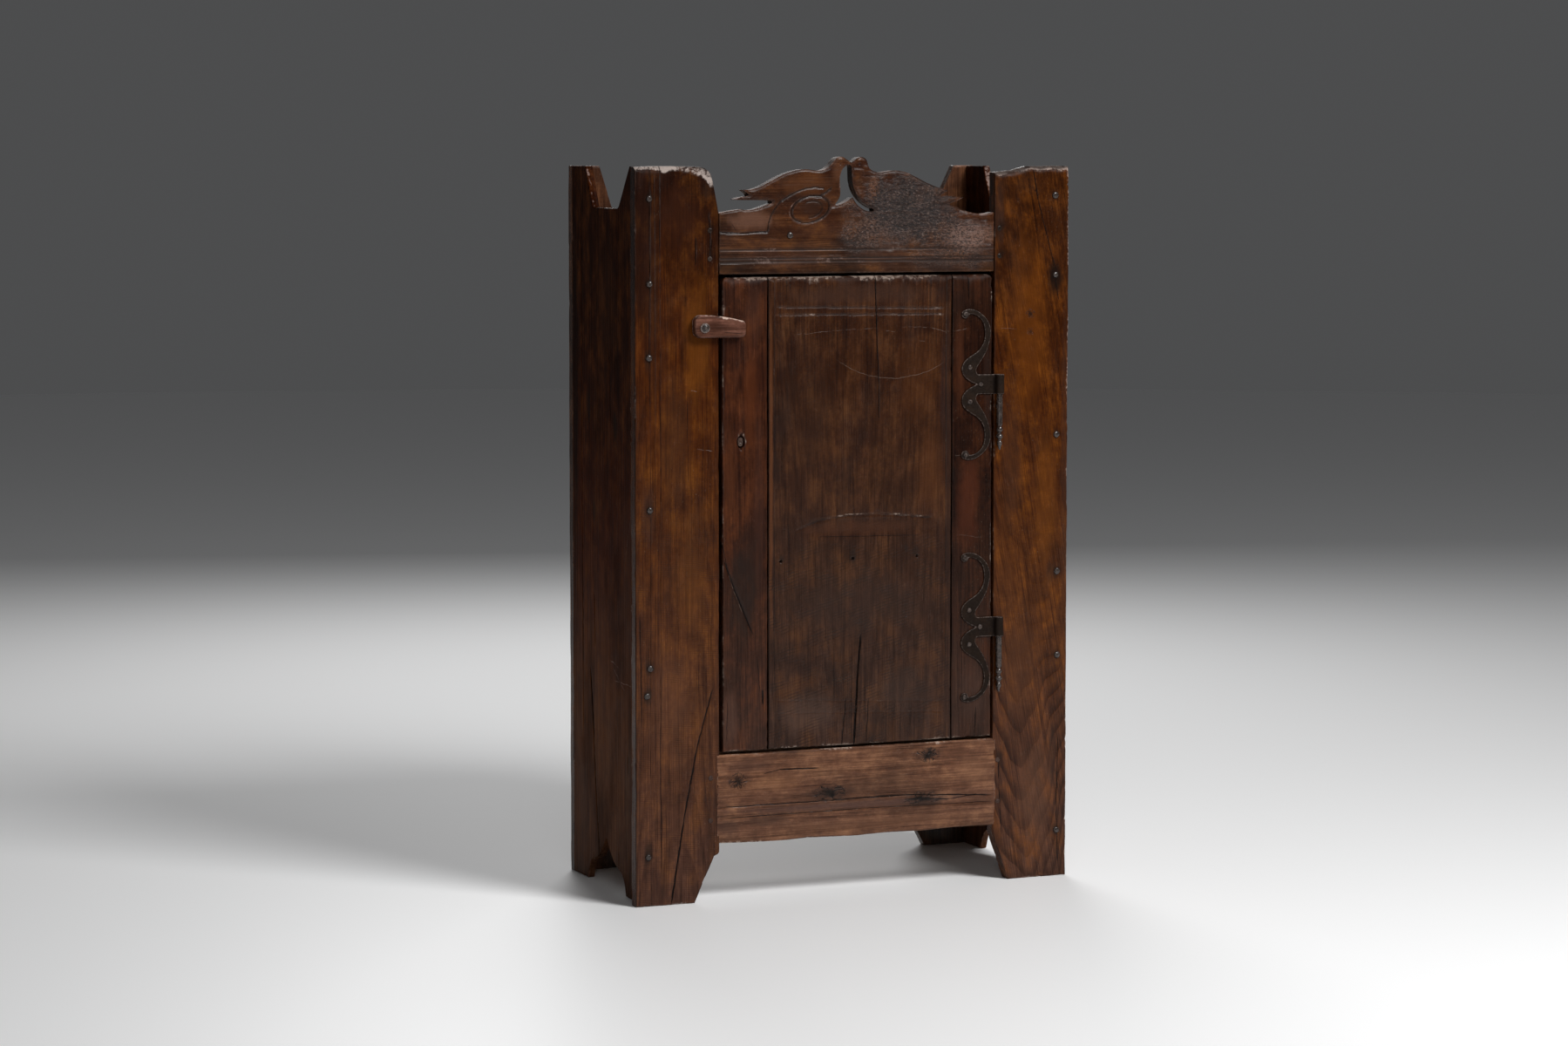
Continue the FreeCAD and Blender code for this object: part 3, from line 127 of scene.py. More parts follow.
def plank(name, rows, columns, thick, place, low=None, high=None, bottom=None, top=None, keep=None,
          keep_along=None, face=None, rim=None, arris=2.0, end_arris=(2.0, 2.0), chips=1.0, joints=(0, 0),
          seed=1):
    """One board as a closed skin, in millimetres: columns across its face and rows along it, bent to the
    board's outline by low, high, bottom and top. Its arrises are rounded off by wear and chipped, face gives
    how far its face is cut away, where it is pale (wear, and painted highlights on tops and groove lips) and
    where it is dark, rim how pale its edge is (a painted highlight), joints how much grime darkens its long
    edges, and place puts (across, along, deep) in the frame."""
    middle = (columns[0] + columns[-1]) / 2
    keep = keep or (middle, middle)
    centre = (rows[0] + rows[-1]) / 2
    keep_along = keep_along or (centre, centre)
    nr, nc = len(rows), len(columns)
    S = np.repeat(rows[:, None], nc, 1)
    C = np.repeat(columns[None, :], nr, 0)
    ragged = 0.35 * (1 + drift(rows / 70, seed, seed)) + 0.15 * (1 + drift(rows / 11, seed, seed + 1))
    start = (low(rows) if low else np.full(nr, columns[0])) + ragged
    end = (high(rows) if high else np.full(nr, columns[-1])) - ragged[::-1]
    W = stretched(C, columns[0], columns[-1], start[:, None], end[:, None], keep)
    worn_ends = 0.3 * (1 + drift(W / 45, seed, seed + 2)) + 0.2 * (1 + drift(W / 8, seed, seed + 3))
    foot = (bottom(W) if bottom else rows[0]) + (worn_ends if rows[0] > 1 or bottom else 0.1)
    head = (top(W) if top else rows[-1]) - worn_ends
    S = stretched(S, rows[0], rows[-1], foot, head, keep_along)
    lean = [1 / np.sqrt(1 + np.gradient(edge, rows) ** 2)[:, None] for edge in (start, end)]
    sides = np.minimum((W - start[:, None]) * lean[0], (end[:, None] - W) * lean[1])
    if top:
        slope = 1 / np.sqrt(1 + np.gradient(head[-1], W[-1]) ** 2)[None, :]
    else:
        slope = 1
    ends = np.minimum(S - foot, (head - S) * slope)
    flip = (W - W.mean()) > 0

    def fall(distance, radius):
        radius = np.maximum(radius, 0.3)
        return np.where(distance < radius,
                        radius - np.sqrt(np.maximum(radius ** 2 - (radius - distance) ** 2, 0)), 0)

    def rounding(turn):
        chip = np.clip(drift(S / 8 + 31 * flip, W / 30, seed + turn) - 0.55, 0, 1) * 7 * chips
        side = arris * (0.85 + 0.45 * drift(S / 36 + 17 * flip, turn, seed + 5)) + chip
        end_chip = np.clip(drift(W / 8, S / 200 + turn, seed + 7) - 0.45, 0, 1) * 6 * chips
        tip = (np.where(S > centre, end_arris[1], end_arris[0])
               * (0.85 + 0.45 * drift(W / 26, S / 300 + turn, seed + 6)) + end_chip)
        lost = np.maximum(fall(sides, side), fall(ends, tip))
        near = np.maximum(np.exp(-sides / (0.9 * side + 0.3)), np.exp(-ends / (0.9 * tip + 0.3)))
        return np.minimum(lost, thick * 0.42), near

    front_lost, front_near = rounding(0)
    back_lost, back_near = rounding(3)
    plain = 0.2 * (1 + drift(W / 50, S / 160, seed + 8)) + 0.08 * (1 + drift(W / 8, S / 90, seed))
    cut, pale, dark = face(W, S) if face else (plain, 0 * W, 0 * W)
    front = front_lost + cut
    back = thick - back_lost - 0.15 * (1 + drift(W / 60, S / 190, seed + 9))
    ring = [(0, j) for j in range(nc)] + [(i, nc - 1) for i in range(1, nr)]
    ring += [(nr - 1, j) for j in range(nc - 2, -1, -1)] + [(i, 0) for i in range(nr - 2, 0, -1)]
    ri, rj = np.array(ring).T
    count = len(ring)
    points = [place(W, S, front).reshape(-1, 3), place(W, S, back).reshape(-1, 3)]
    front_near = front_near * np.where(sides < ends, 0.62 * (1 - np.where(flip, joints[1], joints[0])), 1)
    # Pale: arris wear, and the face's pale marks, which include painted highlights on tops and groove lips
    wear_and_highlight = [np.maximum(front_near, pale).ravel(), (back_near * np.where(sides < ends, 0.35, 0.8)).ravel()]
    grime = np.maximum(joints[0] * np.exp(-(W - start[:, None]) / 1.3),
                       joints[1] * np.exp(-(end[:, None] - W) / 1.3))
    # Dark: grime at the joints, nail stains, and deep cuts darkened as painted shade in cracks and grooves,
    # with grime
    hollow = [np.maximum(np.maximum(np.clip((np.broadcast_to(cut, W.shape) - 0.75) / 0.9, 0, 1), dark),
                         grime).ravel(),
              np.zeros(nr * nc)]
    inward = np.stack([middle - W[ri, rj], centre - S[ri, rj]], -1)
    inward /= np.linalg.norm(inward, axis=1)[:, None] + 1e-9
    levels = (0.12, 0.4, 0.7, 0.9)
    for k, level in enumerate(levels):
        dent = 0.18 * (1 + drift(np.arange(count) / 9, k * 1.7, seed + 11))
        depth = front[ri, rj] + (back[ri, rj] - front[ri, rj]) * level
        points.append(place(W[ri, rj] + inward[:, 0] * dent,
                            S[ri, rj] + inward[:, 1] * dent * (S[ri, rj] > 1), depth))
        edge_worn = np.maximum(np.exp((front[ri, rj] - depth) / 1.5) * 0.8,
                               np.exp((depth - back[ri, rj]) / 1.5) * 0.35)
        edge_worn = edge_worn * np.where(ri == nr - 1, 1, 0.35)
        # On the side boards the rim adds a painted highlight on the notch slope
        wear_and_highlight.append(np.maximum(edge_worn, rim(W[ri, rj], S[ri, rj], level)) if rim else edge_worn)
        hollow.append(np.zeros(count))
    i, j = np.meshgrid(np.arange(nr - 1), np.arange(nc - 1), indexing="ij")
    corner = (i * nc + j).ravel()
    grid = np.stack([corner, corner + 1, corner + nc + 1, corner + nc], 1)
    loops = ([ri * nc + rj] + [2 * nr * nc + k * count + np.arange(count) for k in range(len(levels))]
             + [nr * nc + ri * nc + rj])
    walls = [np.stack([np.roll(a, -1), a, b, np.roll(b, -1)], 1) for a, b in zip(loops, loops[1:])]
    faces = np.concatenate([grid, grid[:, ::-1] + nr * nc] + walls)
    points = np.concatenate(points)
    a, b, c, d = (points[faces[:, k]] for k in range(4))
    volume = (np.einsum("ij,ij->i", a, np.cross(b, c)).sum()
              + np.einsum("ij,ij->i", a, np.cross(c, d)).sum())
    if volume < 0:
        faces = faces[:, ::-1]
    mesh = bpy.data.meshes.new(name)
    mesh.from_pydata(points.tolist(), [], faces.tolist())
    mesh.shade_smooth()
    for label, values in (("wear_and_highlight", wear_and_highlight), ("hollow", hollow)):
        mesh.attributes.new(label, "FLOAT", "POINT").data.foreach_set(
            "value", np.concatenate(values).astype(np.float32))
    return stand(name, mesh)


def put(tree, kind, feeds=(), out=0, **traits):
    """Adds a node to a tree, sets or links its inputs, and gives the output asked for."""
    node = tree.nodes.new(kind)
    for trait, value in traits.items():
        setattr(node, trait, value)
    for name, value in dict(feeds).items():
        if isinstance(value, bpy.types.NodeSocket):
            tree.links.new(value, node.inputs[name])
        else:
            node.inputs[name].default_value = value
    return node.outputs[out] if out is not None else node


def calc(tree, operation, *values, clamp=False):
    return put(tree, "ShaderNodeMath", enumerate(values), operation=operation, use_clamp=clamp)


def times(tree, *values, clamp=False):
    return calc(tree, "MULTIPLY", *values, clamp=clamp)


def plus(tree, *values):
    return calc(tree, "ADD", *values)


def minus(tree, *values):
    return calc(tree, "SUBTRACT", *values)


def vec(tree, operation, *values, out=0):
    return put(tree, "ShaderNodeVectorMath", enumerate(values), out, operation=operation)


def scaled(tree, vector, by):
    return vec(tree, "MULTIPLY", vector, by)


def ease(tree, value, start, end, low=0.0, high=1.0):
    return put(tree, "ShaderNodeMapRange", {0: value, 1: start, 2: end, 3: low, 4: high},
               interpolation_type="SMOOTHSTEP")


def tint(tree, share, under, over, mode="MIX"):
    return put(tree, "ShaderNodeMix", {0: share, 6: under, 7: over}, 2, data_type="RGBA", blend_type=mode,
               clamp_result=True)


def noise(tree, vector, scale=1.0, detail=2.0, rough=0.5, out=0):
    return put(tree, "ShaderNodeTexNoise",
               {"Vector": vector, "Scale": scale, "Detail": detail, "Roughness": rough}, out)


def effect(name, takes, gives):
    """A node group that several finishes share, with named inputs and outputs."""
    tree = bpy.data.node_groups.new(name, "ShaderNodeTree")
    for label, start in takes.items():
        kind = "Float" if isinstance(start, (int, float)) else "Color" if len(start) == 4 else "Vector"
        socket = tree.interface.new_socket(label, in_out="INPUT", socket_type="NodeSocket" + kind)
        socket.default_value = start
    for label, kind in gives.items():
        tree.interface.new_socket(label, in_out="OUTPUT", socket_type="NodeSocket" + kind)
    return tree, tree.nodes.new("NodeGroupInput").outputs, tree.nodes.new("NodeGroupOutput").inputs


# Grain of an old board, along Z: yearly rings cut by the face, long streaks, stains, fibres and pale specks
grain, g, gives = effect("board_grain", {
    "Vector": (0, 0, 0), "Base": (0.1, 0.04, 0.02, 1), "Streak": (0.2, 0.08, 0.03, 1),
    "Stain": (0.03, 0.015, 0.01, 1), "Rings": 0.5, "Ring width": 0.007, "Pith": (0, 0.05, 0),
    "Lean": 0.03, "Dip": 0.0, "Wander": 0.05, "Streaks": 1.0, "Stains": 0.6, "Specks": 0.3,
    "Ripple": 0.35, "Slant": 0.0, "Seed": 0.0}, {"Colour": "Color", "Height": "Float", "Dull": "Float"})
seeded = put(grain, "ShaderNodeCombineXYZ",
             {0: g["Seed"], 1: times(grain, g["Seed"], 1.7), 2: times(grain, g["Seed"], 0.6)})
moved = vec(grain, "ADD", g["Vector"], seeded)
upward = put(grain, "ShaderNodeSeparateXYZ", {0: g["Vector"]}, 2)
aside = put(grain, "ShaderNodeCombineXYZ", {0: times(grain, upward, g["Slant"]), 1: 0.0, 2: 0.0})
moved = vec(grain, "ADD", moved, aside)
long = scaled(grain, moved, (1, 1, 0.12))
sway = vec(grain, "SUBTRACT", noise(grain, long, 7, 2, 0.45, out=1), (0.5, 0.5, 0.5))
reach = put(grain, "ShaderNodeCombineXYZ", {0: g["Wander"], 1: g["Wander"], 2: 0.0})
swayed = vec(grain, "ADD", g["Vector"], scaled(grain, sway, reach))
parts = put(grain, "ShaderNodeSeparateXYZ", {0: swayed}, None)
leant = calc(grain, "MULTIPLY_ADD", parts.outputs[2], g["Lean"], parts.outputs[0])
dipped = minus(grain, parts.outputs[1], times(grain, parts.outputs[2], g["Dip"]))
leaned = put(grain, "ShaderNodeCombineXYZ", {0: leant, 1: dipped, 2: 0.0})
flat_pith = scaled(grain, g["Pith"], (1, 1, 0))
radius = vec(grain, "LENGTH", vec(grain, "SUBTRACT", leaned, flat_pith), out=1)
turns = calc(grain, "DIVIDE", radius, g["Ring width"])
turns = plus(grain, turns, times(grain, noise(grain, long, 22, 2), 1.6))
year = calc(grain, "FRACT", turns)
late = times(grain, ease(grain, year, 0.25, 0.9), ease(grain, year, 1.0, 0.93))
strength = times(grain, g["Rings"], ease(grain, noise(grain, long, 11, 2), 0.3, 0.65, 0.35, 1.0))
late = times(grain, late, strength)
fibre = noise(grain, scaled(grain, moved, (620, 620, 17)), 1, 3, 0.6)
coarse = noise(grain, scaled(grain, moved, (150, 150, 3.2)), 1, 3, 0.6)
streak = noise(grain, scaled(grain, moved, (42, 42, 1.5)), 1, 4, 0.6)
stain = noise(grain, scaled(grain, moved, (13, 13, 4.5)), 1, 5, 0.62)
mottle = noise(grain, scaled(grain, moved, (30, 30, 19)), 1, 6, 0.7)
thin = noise(grain, scaled(grain, moved, (260, 260, 5)), 1, 4, 0.7)
wavy = vec(grain, "ADD", moved, scaled(grain, sway, (0, 0, 0.02)))
ripple = noise(grain, scaled(grain, wavy, (70, 70, 420)), 1, 3, 0.6)
here_and_there = noise(grain, scaled(grain, moved, (18, 18, 26)), 1, 3)
here_and_there = ease(grain, here_and_there, 0.4, 0.62)
ripple = calc(grain, "MULTIPLY_ADD", minus(grain, ripple, 0.5), here_and_there, 0.5)
speck = noise(grain, scaled(grain, moved, (430, 430, 240)), 1, 2, 0.5)
streak_mask = calc(grain, "MULTIPLY_ADD", mottle, 0.7, times(grain, streak, 0.3))
streak_mask = times(grain, ease(grain, streak_mask, 0.44, 0.66), g["Streaks"], clamp=True)
colour = tint(grain, streak_mask, g["Base"], g["Streak"])
stain_mask = times(grain, ease(grain, stain, 0.47, 0.7), g["Stains"], clamp=True)
colour = tint(grain, stain_mask, colour, g["Stain"])
tone = times(grain, ease(grain, coarse, 0.25, 0.75, 0.84, 1.16), ease(grain, fibre, 0.25, 0.75, 0.7, 1.32))
rippled = minus(grain, ease(grain, ripple, 0.32, 0.68, 0.74, 1.28), 1.0)
tone = times(grain, tone, calc(grain, "MULTIPLY_ADD", rippled, g["Ripple"], 1.0))
tone = times(grain, tone, ease(grain, thin, 0.53, 0.63, 1.0, 0.62))
tone = times(grain, tone, ease(grain, mottle, 0.3, 0.72, 0.72, 1.3))
tone = times(grain, tone, minus(grain, 1.0, times(grain, late, 0.62)))
tones = put(grain, "ShaderNodeCombineColor",
            {0: tone, 1: calc(grain, "POWER", tone, 1.12), 2: calc(grain, "POWER", tone, 1.18)})
colour = tint(grain, 1.0, colour, tones, "MULTIPLY")
scatter = ease(grain, noise(grain, scaled(grain, moved, (16, 16, 8)), 1, 3), 0.35, 0.65)
speck_mask = times(grain, times(grain, ease(grain, speck, 0.66, 0.74), scatter), g["Specks"])
colour = tint(grain, speck_mask, colour, tint(grain, 0.6, colour, (0.30, 0.21, 0.15, 1)))
grain.links.new(colour, gives["Colour"])
height = plus(grain, times(grain, fibre, 0.45), times(grain, coarse, 0.4))
height = plus(grain, height, times(grain, ripple, times(grain, g["Ripple"], 0.8)))
grain.links.new(minus(grain, height, times(grain, late, 0.35)), gives["Height"])
grain.links.new(plus(grain, times(grain, stain_mask, 0.6), times(grain, fibre, 0.4)), gives["Dull"])

# Handled arrises pale from wear, with painted highlights on tops and lips; grime and painted shade darken the
# hollows
wear_and_painted_light, g, gives = effect("arris_wear_and_painted_light", {"Vector": (0, 0, 0), "Colour": (0.1, 0.04, 0.02, 1),
                                           "Wear and highlight": 0.0, "Hollow": 0.0, "Pale": (0.3, 0.2, 0.13, 1),
                                           "Dirt and shade": (0.006, 0.003, 0.002, 1), "Amount": 1.0},
                          {"Colour": "Color"})
broken = noise(wear_and_painted_light, g["Vector"], 150, 5, 0.65)
patchy = noise(wear_and_painted_light, g["Vector"], 17, 2, 0.5)
wear_and_highlight = plus(wear_and_painted_light, times(wear_and_painted_light, g["Wear and highlight"], 0.85), ease(wear_and_painted_light, broken, 0.34, 0.66, -0.34, 0.26))
wear_and_highlight = plus(wear_and_painted_light, wear_and_highlight, ease(wear_and_painted_light, patchy, 0.32, 0.68, -0.45, 0.25))
wear_and_highlight = times(wear_and_painted_light, ease(wear_and_painted_light, wear_and_highlight, 0.28, 0.95), ease(wear_and_painted_light, g["Wear and highlight"], 0.05, 0.4))
wear_and_highlight = times(wear_and_painted_light, wear_and_highlight, g["Amount"], clamp=True)
colour = tint(wear_and_painted_light, wear_and_highlight, g["Colour"], g["Pale"])
colour = tint(wear_and_painted_light, times(wear_and_painted_light, g["Hollow"], 0.85, clamp=True), colour, g["Dirt and shade"])
wear_and_painted_light.links.new(colour, gives["Colour"])

# A crack or a scratch between two places on a face, thin at its ends
crack_line, g, gives = effect("crack_line", {"Vector": (0, 0, 0), "From": (0, 0, 0), "To": (0, 0, 1),
                                             "Width": 0.001, "Wander": 0.003, "Face": (1, 0, 1)},
                              {"Mask": "Float"})
wobble = vec(crack_line, "SUBTRACT", noise(crack_line, g["Vector"], 55, 3, 0.6, out=1), (0.5, 0.5, 0.5))
wobble = vec(crack_line, "SCALE", wobble)
crack_line.links.new(g["Wander"], wobble.node.inputs["Scale"])
here = scaled(crack_line,
              vec(crack_line, "SUBTRACT", vec(crack_line, "ADD", g["Vector"], wobble), g["From"]),
              g["Face"])
run = scaled(crack_line, vec(crack_line, "SUBTRACT", g["To"], g["From"]), g["Face"])
share = calc(crack_line, "DIVIDE", vec(crack_line, "DOT_PRODUCT", here, run, out=1),
             vec(crack_line, "DOT_PRODUCT", run, run, out=1), clamp=True)
nearest = vec(crack_line, "SCALE", run)
crack_line.links.new(share, nearest.node.inputs["Scale"])
away = vec(crack_line, "LENGTH", vec(crack_line, "SUBTRACT", here, nearest), out=1)
taper = times(crack_line, ease(crack_line, share, -0.02, 0.12), ease(crack_line, share, 1.02, 0.88))
wide = times(crack_line, g["Width"], calc(crack_line, "MULTIPLY_ADD", taper, 0.75, 0.25))
crack_line.links.new(ease(crack_line, calc(crack_line, "DIVIDE", away, wide), 1.0, 0.35), gives["Mask"])

# A soft-edged patch, for knots, stains and bright places
patch, g, gives = effect(
    "soft_patch", {"Vector": (0, 0, 0), "Middle": (0, 0, 0), "Reach": (0.02, 1, 0.05), "Broken": 0.4},
    {"Mask": "Float"})
stray = noise(patch, scaled(patch, g["Vector"], (40, 40, 14)), 1, 3, 0.6, out=1)
stray = scaled(patch, vec(patch, "SUBTRACT", stray, (0.5, 0.5, 0.5)), g["Reach"])
stray = vec(patch, "SCALE", stray)
patch.links.new(times(patch, g["Broken"], 3.0), stray.node.inputs["Scale"])
offset = vec(patch, "ADD", vec(patch, "SUBTRACT", g["Vector"], g["Middle"]), stray)
offset = vec(patch, "DIVIDE", offset, g["Reach"])
patch.links.new(ease(patch, vec(patch, "LENGTH", offset, out=1), 1.15, 0.35), gives["Mask"])

# Fine sloping marks of a saw or a toothed plane
sawn, g, gives = effect("saw_marks", {"Vector": (0, 0, 0), "Slope": 0.25, "Pitch": 0.004, "Seed": 0.0},
                        {"Mask": "Float"})
parts = put(sawn, "ShaderNodeSeparateXYZ", {0: g["Vector"]}, None)
bend = times(sawn, noise(sawn, g["Vector"], 6, 2), 0.012)
climb = calc(sawn, "MULTIPLY_ADD", parts.outputs[0], times(sawn, g["Slope"], -1.0), parts.outputs[2])
climb = plus(sawn, climb, bend)
wave = times(sawn, calc(sawn, "DIVIDE", climb, g["Pitch"]), 6.2832)
wave = calc(sawn, "SINE", plus(sawn, wave, times(sawn, noise(sawn, g["Vector"], 30, 2), 7.0)))
faint = ease(sawn, noise(sawn, scaled(sawn, g["Vector"], (28, 28, 50)), 1, 3), 0.42, 0.66)
sawn.links.new(times(sawn, ease(sawn, wave, 0.0, 1.0), faint), gives["Mask"])

# A knot: a dark heart, rings round it and cracks that spread from it
knot, g, gives = effect("knot", {"Vector": (0, 0, 0), "Middle": (0, 0, 0), "Reach": (0.012, 10, 0.008)},
                        {"Heart": "Float", "Cracks": "Float"})
bent = vec(knot, "SUBTRACT", noise(knot, g["Vector"], 70, 3, 0.6, out=1), (0.5, 0.5, 0.5))
offset = vec(knot, "DIVIDE", vec(knot, "SUBTRACT", g["Vector"], g["Middle"]), g["Reach"])
offset = vec(knot, "ADD", offset, scaled(knot, bent, (1.6, 0, 1.6)))
far = vec(knot, "LENGTH", offset, out=1)
round_it = scaled(knot, vec(knot, "NORMALIZE", offset), (2.1, 2.1, 2.1))
outwards = put(knot, "ShaderNodeCombineXYZ", {0: 0.0, 1: times(knot, far, 0.35), 2: 0.0})
own_place = scaled(knot, g["Middle"], (90, 0, 90))
spoke = noise(knot, vec(knot, "ADD", vec(knot, "ADD", round_it, outwards), own_place), 1, 2, 0.5)
spoke = calc(knot, "ABSOLUTE", minus(knot, spoke, 0.5))
knot.links.new(times(knot, ease(knot, spoke, 0.05, 0.012), ease(knot, far, 2.3, 1.0)), gives["Cracks"])
ring = calc(knot, "MULTIPLY_ADD", far, 8.0, times(knot, noise(knot, g["Vector"], 90, 2), 4.0))
ring = calc(knot, "SINE", ring)
ring = times(knot, ease(knot, ring, -0.2, 1.0, 0.0, 0.45), ease(knot, far, 2.6, 1.0))
knot.links.new(calc(knot, "MAXIMUM", ease(knot, far, 1.1, 0.35), ring), gives["Heart"])

# A faint scratch along the lower side of a circle, as a swung compass or hook leaves
swung, g, gives = effect(
    "swung_scratch",
    {"Vector": (0, 0, 0), "Middle": (0, 0, 0), "Radius": 0.1, "Width": 0.001, "Start": -0.1, "End": 0.1},
    {"Mask": "Float"})
shaken = vec(swung, "SUBTRACT", noise(swung, g["Vector"], 40, 3, 0.6, out=1), (0.5, 0.5, 0.5))
shaken = vec(swung, "SCALE", shaken)
shaken.node.inputs["Scale"].default_value = 0.006
from_middle = vec(swung, "SUBTRACT", vec(swung, "ADD", g["Vector"], shaken), g["Middle"])
from_middle = scaled(swung, from_middle, (1, 0, 1))
off = calc(swung, "ABSOLUTE", minus(swung, vec(swung, "LENGTH", from_middle, out=1), g["Radius"]))
parts = put(swung, "ShaderNodeSeparateXYZ", {0: g["Vector"]}, None)
begun = ease(swung, minus(swung, parts.outputs[0], g["Start"]), -0.004, 0.02)
unfinished = ease(swung, minus(swung, g["End"], parts.outputs[0]), -0.004, 0.02)
inside = times(swung, begun, unfinished)
below = put(swung, "ShaderNodeSeparateXYZ", {0: from_middle}, 2)
inside = times(swung, inside, ease(swung, below, 0.0, -0.01))
swung.links.new(times(swung, ease(swung, calc(swung, "DIVIDE", off, g["Width"]), 1.0, 0.3), inside),
                gives["Mask"])


def blank_finish(name):
    finish = bpy.data.materials.new(name)
    finish.use_nodes = True
    finish.node_tree.nodes.clear()
    return finish, finish.node_tree


def wood(name, shades, streak, stain, pale=(0.26, 0.17, 0.115), along="Z", face="front", rings=0.5,
         ring_width=0.007, pith=(0, 0.06, 0), lean=0.03, wander=0.05, streaks=0.8, stains=0.5, specks=0.3,
         wear=0.9, seed=0.0, dip=0.0, patches=(), cracks=(), scratches=(), scratch=0.5, knots=(), pits=(),
         swings=(), ripple=0.35, slant=0.0, leather=0.0, saw=None, gloss=(0.22, 0.36), shine=0.14,
         bump=0.5):
    """A waxed old-wood finish. shades are (height, colour) up the piece. All in millimetres on the face,
    patches are (across, up, half across, half up, colour, strength), knots and crumbly pits (across, up,
    half across, half up, strength), cracks and scratches (across, up, across, up, width) and swings (across,
    up, radius, first, last, width, strength)."""
    finish, tree = blank_finish(name)
    vector = put(tree, "ShaderNodeTexCoord", out=3)
    axes = put(tree, "ShaderNodeSeparateXYZ", {0: vector}, None)
    x, y, z = axes.outputs
    waver = times(tree, minus(tree, noise(tree, vector, 5, 2), 0.5), 0.12)
    ramp = put(tree, "ShaderNodeValToRGB", {0: plus(tree, calc(tree, "DIVIDE", z, 1.2), waver)}, None)
    points = ramp.color_ramp.elements
    while len(points) < len(shades):
        points.new(0.5)
    while len(points) > len(shades):
        points.remove(points[-1])
    for point, (height, shade) in zip(points, shades):
        point.position, point.color = height / 1200, (*shade, 1)
    turned = put(tree, "ShaderNodeCombineXYZ", enumerate({
        "Z": (x, y, z), "X": (z, y, x), "Y": (x, z, y), "side": (y, x, z)}[along]))
    if isinstance(rings, tuple):
        rings = ease(tree, z, rings[2] / 1000, rings[3] / 1000, rings[0], rings[1])
    body = put(tree, "ShaderNodeGroup", {
        "Vector": turned, "Base": ramp.outputs[0], "Streak": (*streak, 1), "Stain": (*stain, 1),
        "Rings": rings, "Ring width": ring_width, "Pith": pith, "Lean": lean, "Dip": dip,
        "Wander": wander, "Streaks": streaks, "Stains": stains, "Specks": specks, "Ripple": ripple,
        "Slant": slant, "Seed": seed}, None, node_tree=grain)
    colour, height = body.outputs["Colour"], body.outputs["Height"]

    def at(across, up):
        return tuple(spot(across, 0, up)) if face == "front" else tuple(spot(0, across, up))

    def spread(group, across, up, wide, tall, out=0):
        """A group's mask round a place on the face, through the whole thickness of the board."""
        reach = (wide / 1000, 10, tall / 1000) if face == "front" else (10, wide / 1000, tall / 1000)
        feeds = {"Vector": vector, "Middle": at(across, up), "Reach": reach}
        return put(tree, "ShaderNodeGroup", feeds, out, node_tree=group)

    for across, up, wide, tall, shade, strength in patches:
        mask = times(tree, spread(patch, across, up, wide, tall), strength)
        colour = tint(tree, mask, colour, tint(tree, 0.85, colour, (*shade, 1)))
    if leather:
        height = plus(tree, height, times(tree, noise(tree, vector, 430, 3, 0.6), leather))
    for across, up, wide, tall, strength in pits:
        crumbs = noise(tree, scaled(tree, vector, (230, 230, 380)), 1, 4, 0.7)
        mask = times(tree, spread(patch, across, up, wide, tall), strength)
        height = plus(tree, height, times(tree, times(tree, crumbs, mask), 5.0))
        # Sunken crumbs painted dark as painted shade in the pits, raised crumbs painted pale as painted
        # highlights
        for start, end, most, shade in ((0.54, 0.41, 0.92, (0.006, 0.004, 0.0035, 1)),
                                        (0.56, 0.68, 0.5, (0.14, 0.10, 0.085, 1))):
            colour = tint(tree, times(tree, mask, ease(tree, crumbs, start, end, 0.0, most)), colour, shade)
    for across, up, wide, tall, strength in knots:
        eye = spread(knot, across, up, wide, tall, None)
        colour = tint(tree, times(tree, eye.outputs["Heart"], strength), colour, (0.010, 0.006, 0.0045, 1))
        # Knot cracks painted near black: painted shade in the splits
        split = times(tree, eye.outputs["Cracks"], strength)
        colour = tint(tree, split, colour, (0.003, 0.002, 0.0015, 1))
        height = minus(tree, height, times(tree, split, 1.8))
    for across, up, radius, first, last, wide, strength in swings:
        arc = put(tree, "ShaderNodeGroup", {
            "Vector": vector, "Middle": at(across, up), "Radius": radius / 1000, "Start": at(first, 0)[0],
            "End": at(last, 0)[0], "Width": wide / 1000}, node_tree=swung)
        mask = times(tree, arc, ease(tree, noise(tree, vector, 150, 3), 0.35, 0.6, 0.15, strength))
        colour = tint(tree, mask, colour, (*pale, 1))
    if saw:
        slope, pitch, strength, limit = saw
        marks = put(tree, "ShaderNodeGroup", {"Vector": vector, "Slope": slope, "Pitch": pitch},
                    node_tree=sawn)
        fade = ease(tree, z, limit / 1000 + 0.06, limit / 1000 - 0.06, 0.25, 1.0)
        mask = times(tree, times(tree, marks, fade), strength)
        colour = tint(tree, mask, colour, tint(tree, 0.7, colour, (0.012, 0.007, 0.005, 1)))
        height = minus(tree, height, times(tree, mask, 0.35))

    def lines(marks, wander):
        total = None
        for across_1, up_1, across_2, up_2, width in marks:
            line = put(tree, "ShaderNodeGroup", {
                "Vector": vector, "From": at(across_1, up_1), "To": at(across_2, up_2),
                "Width": width / 1000, "Wander": wander,
                "Face": (1, 0, 1) if face == "front" else (0, 1, 1)}, node_tree=crack_line)
            total = calc(tree, "MAXIMUM", total, line) if total else line
        return total

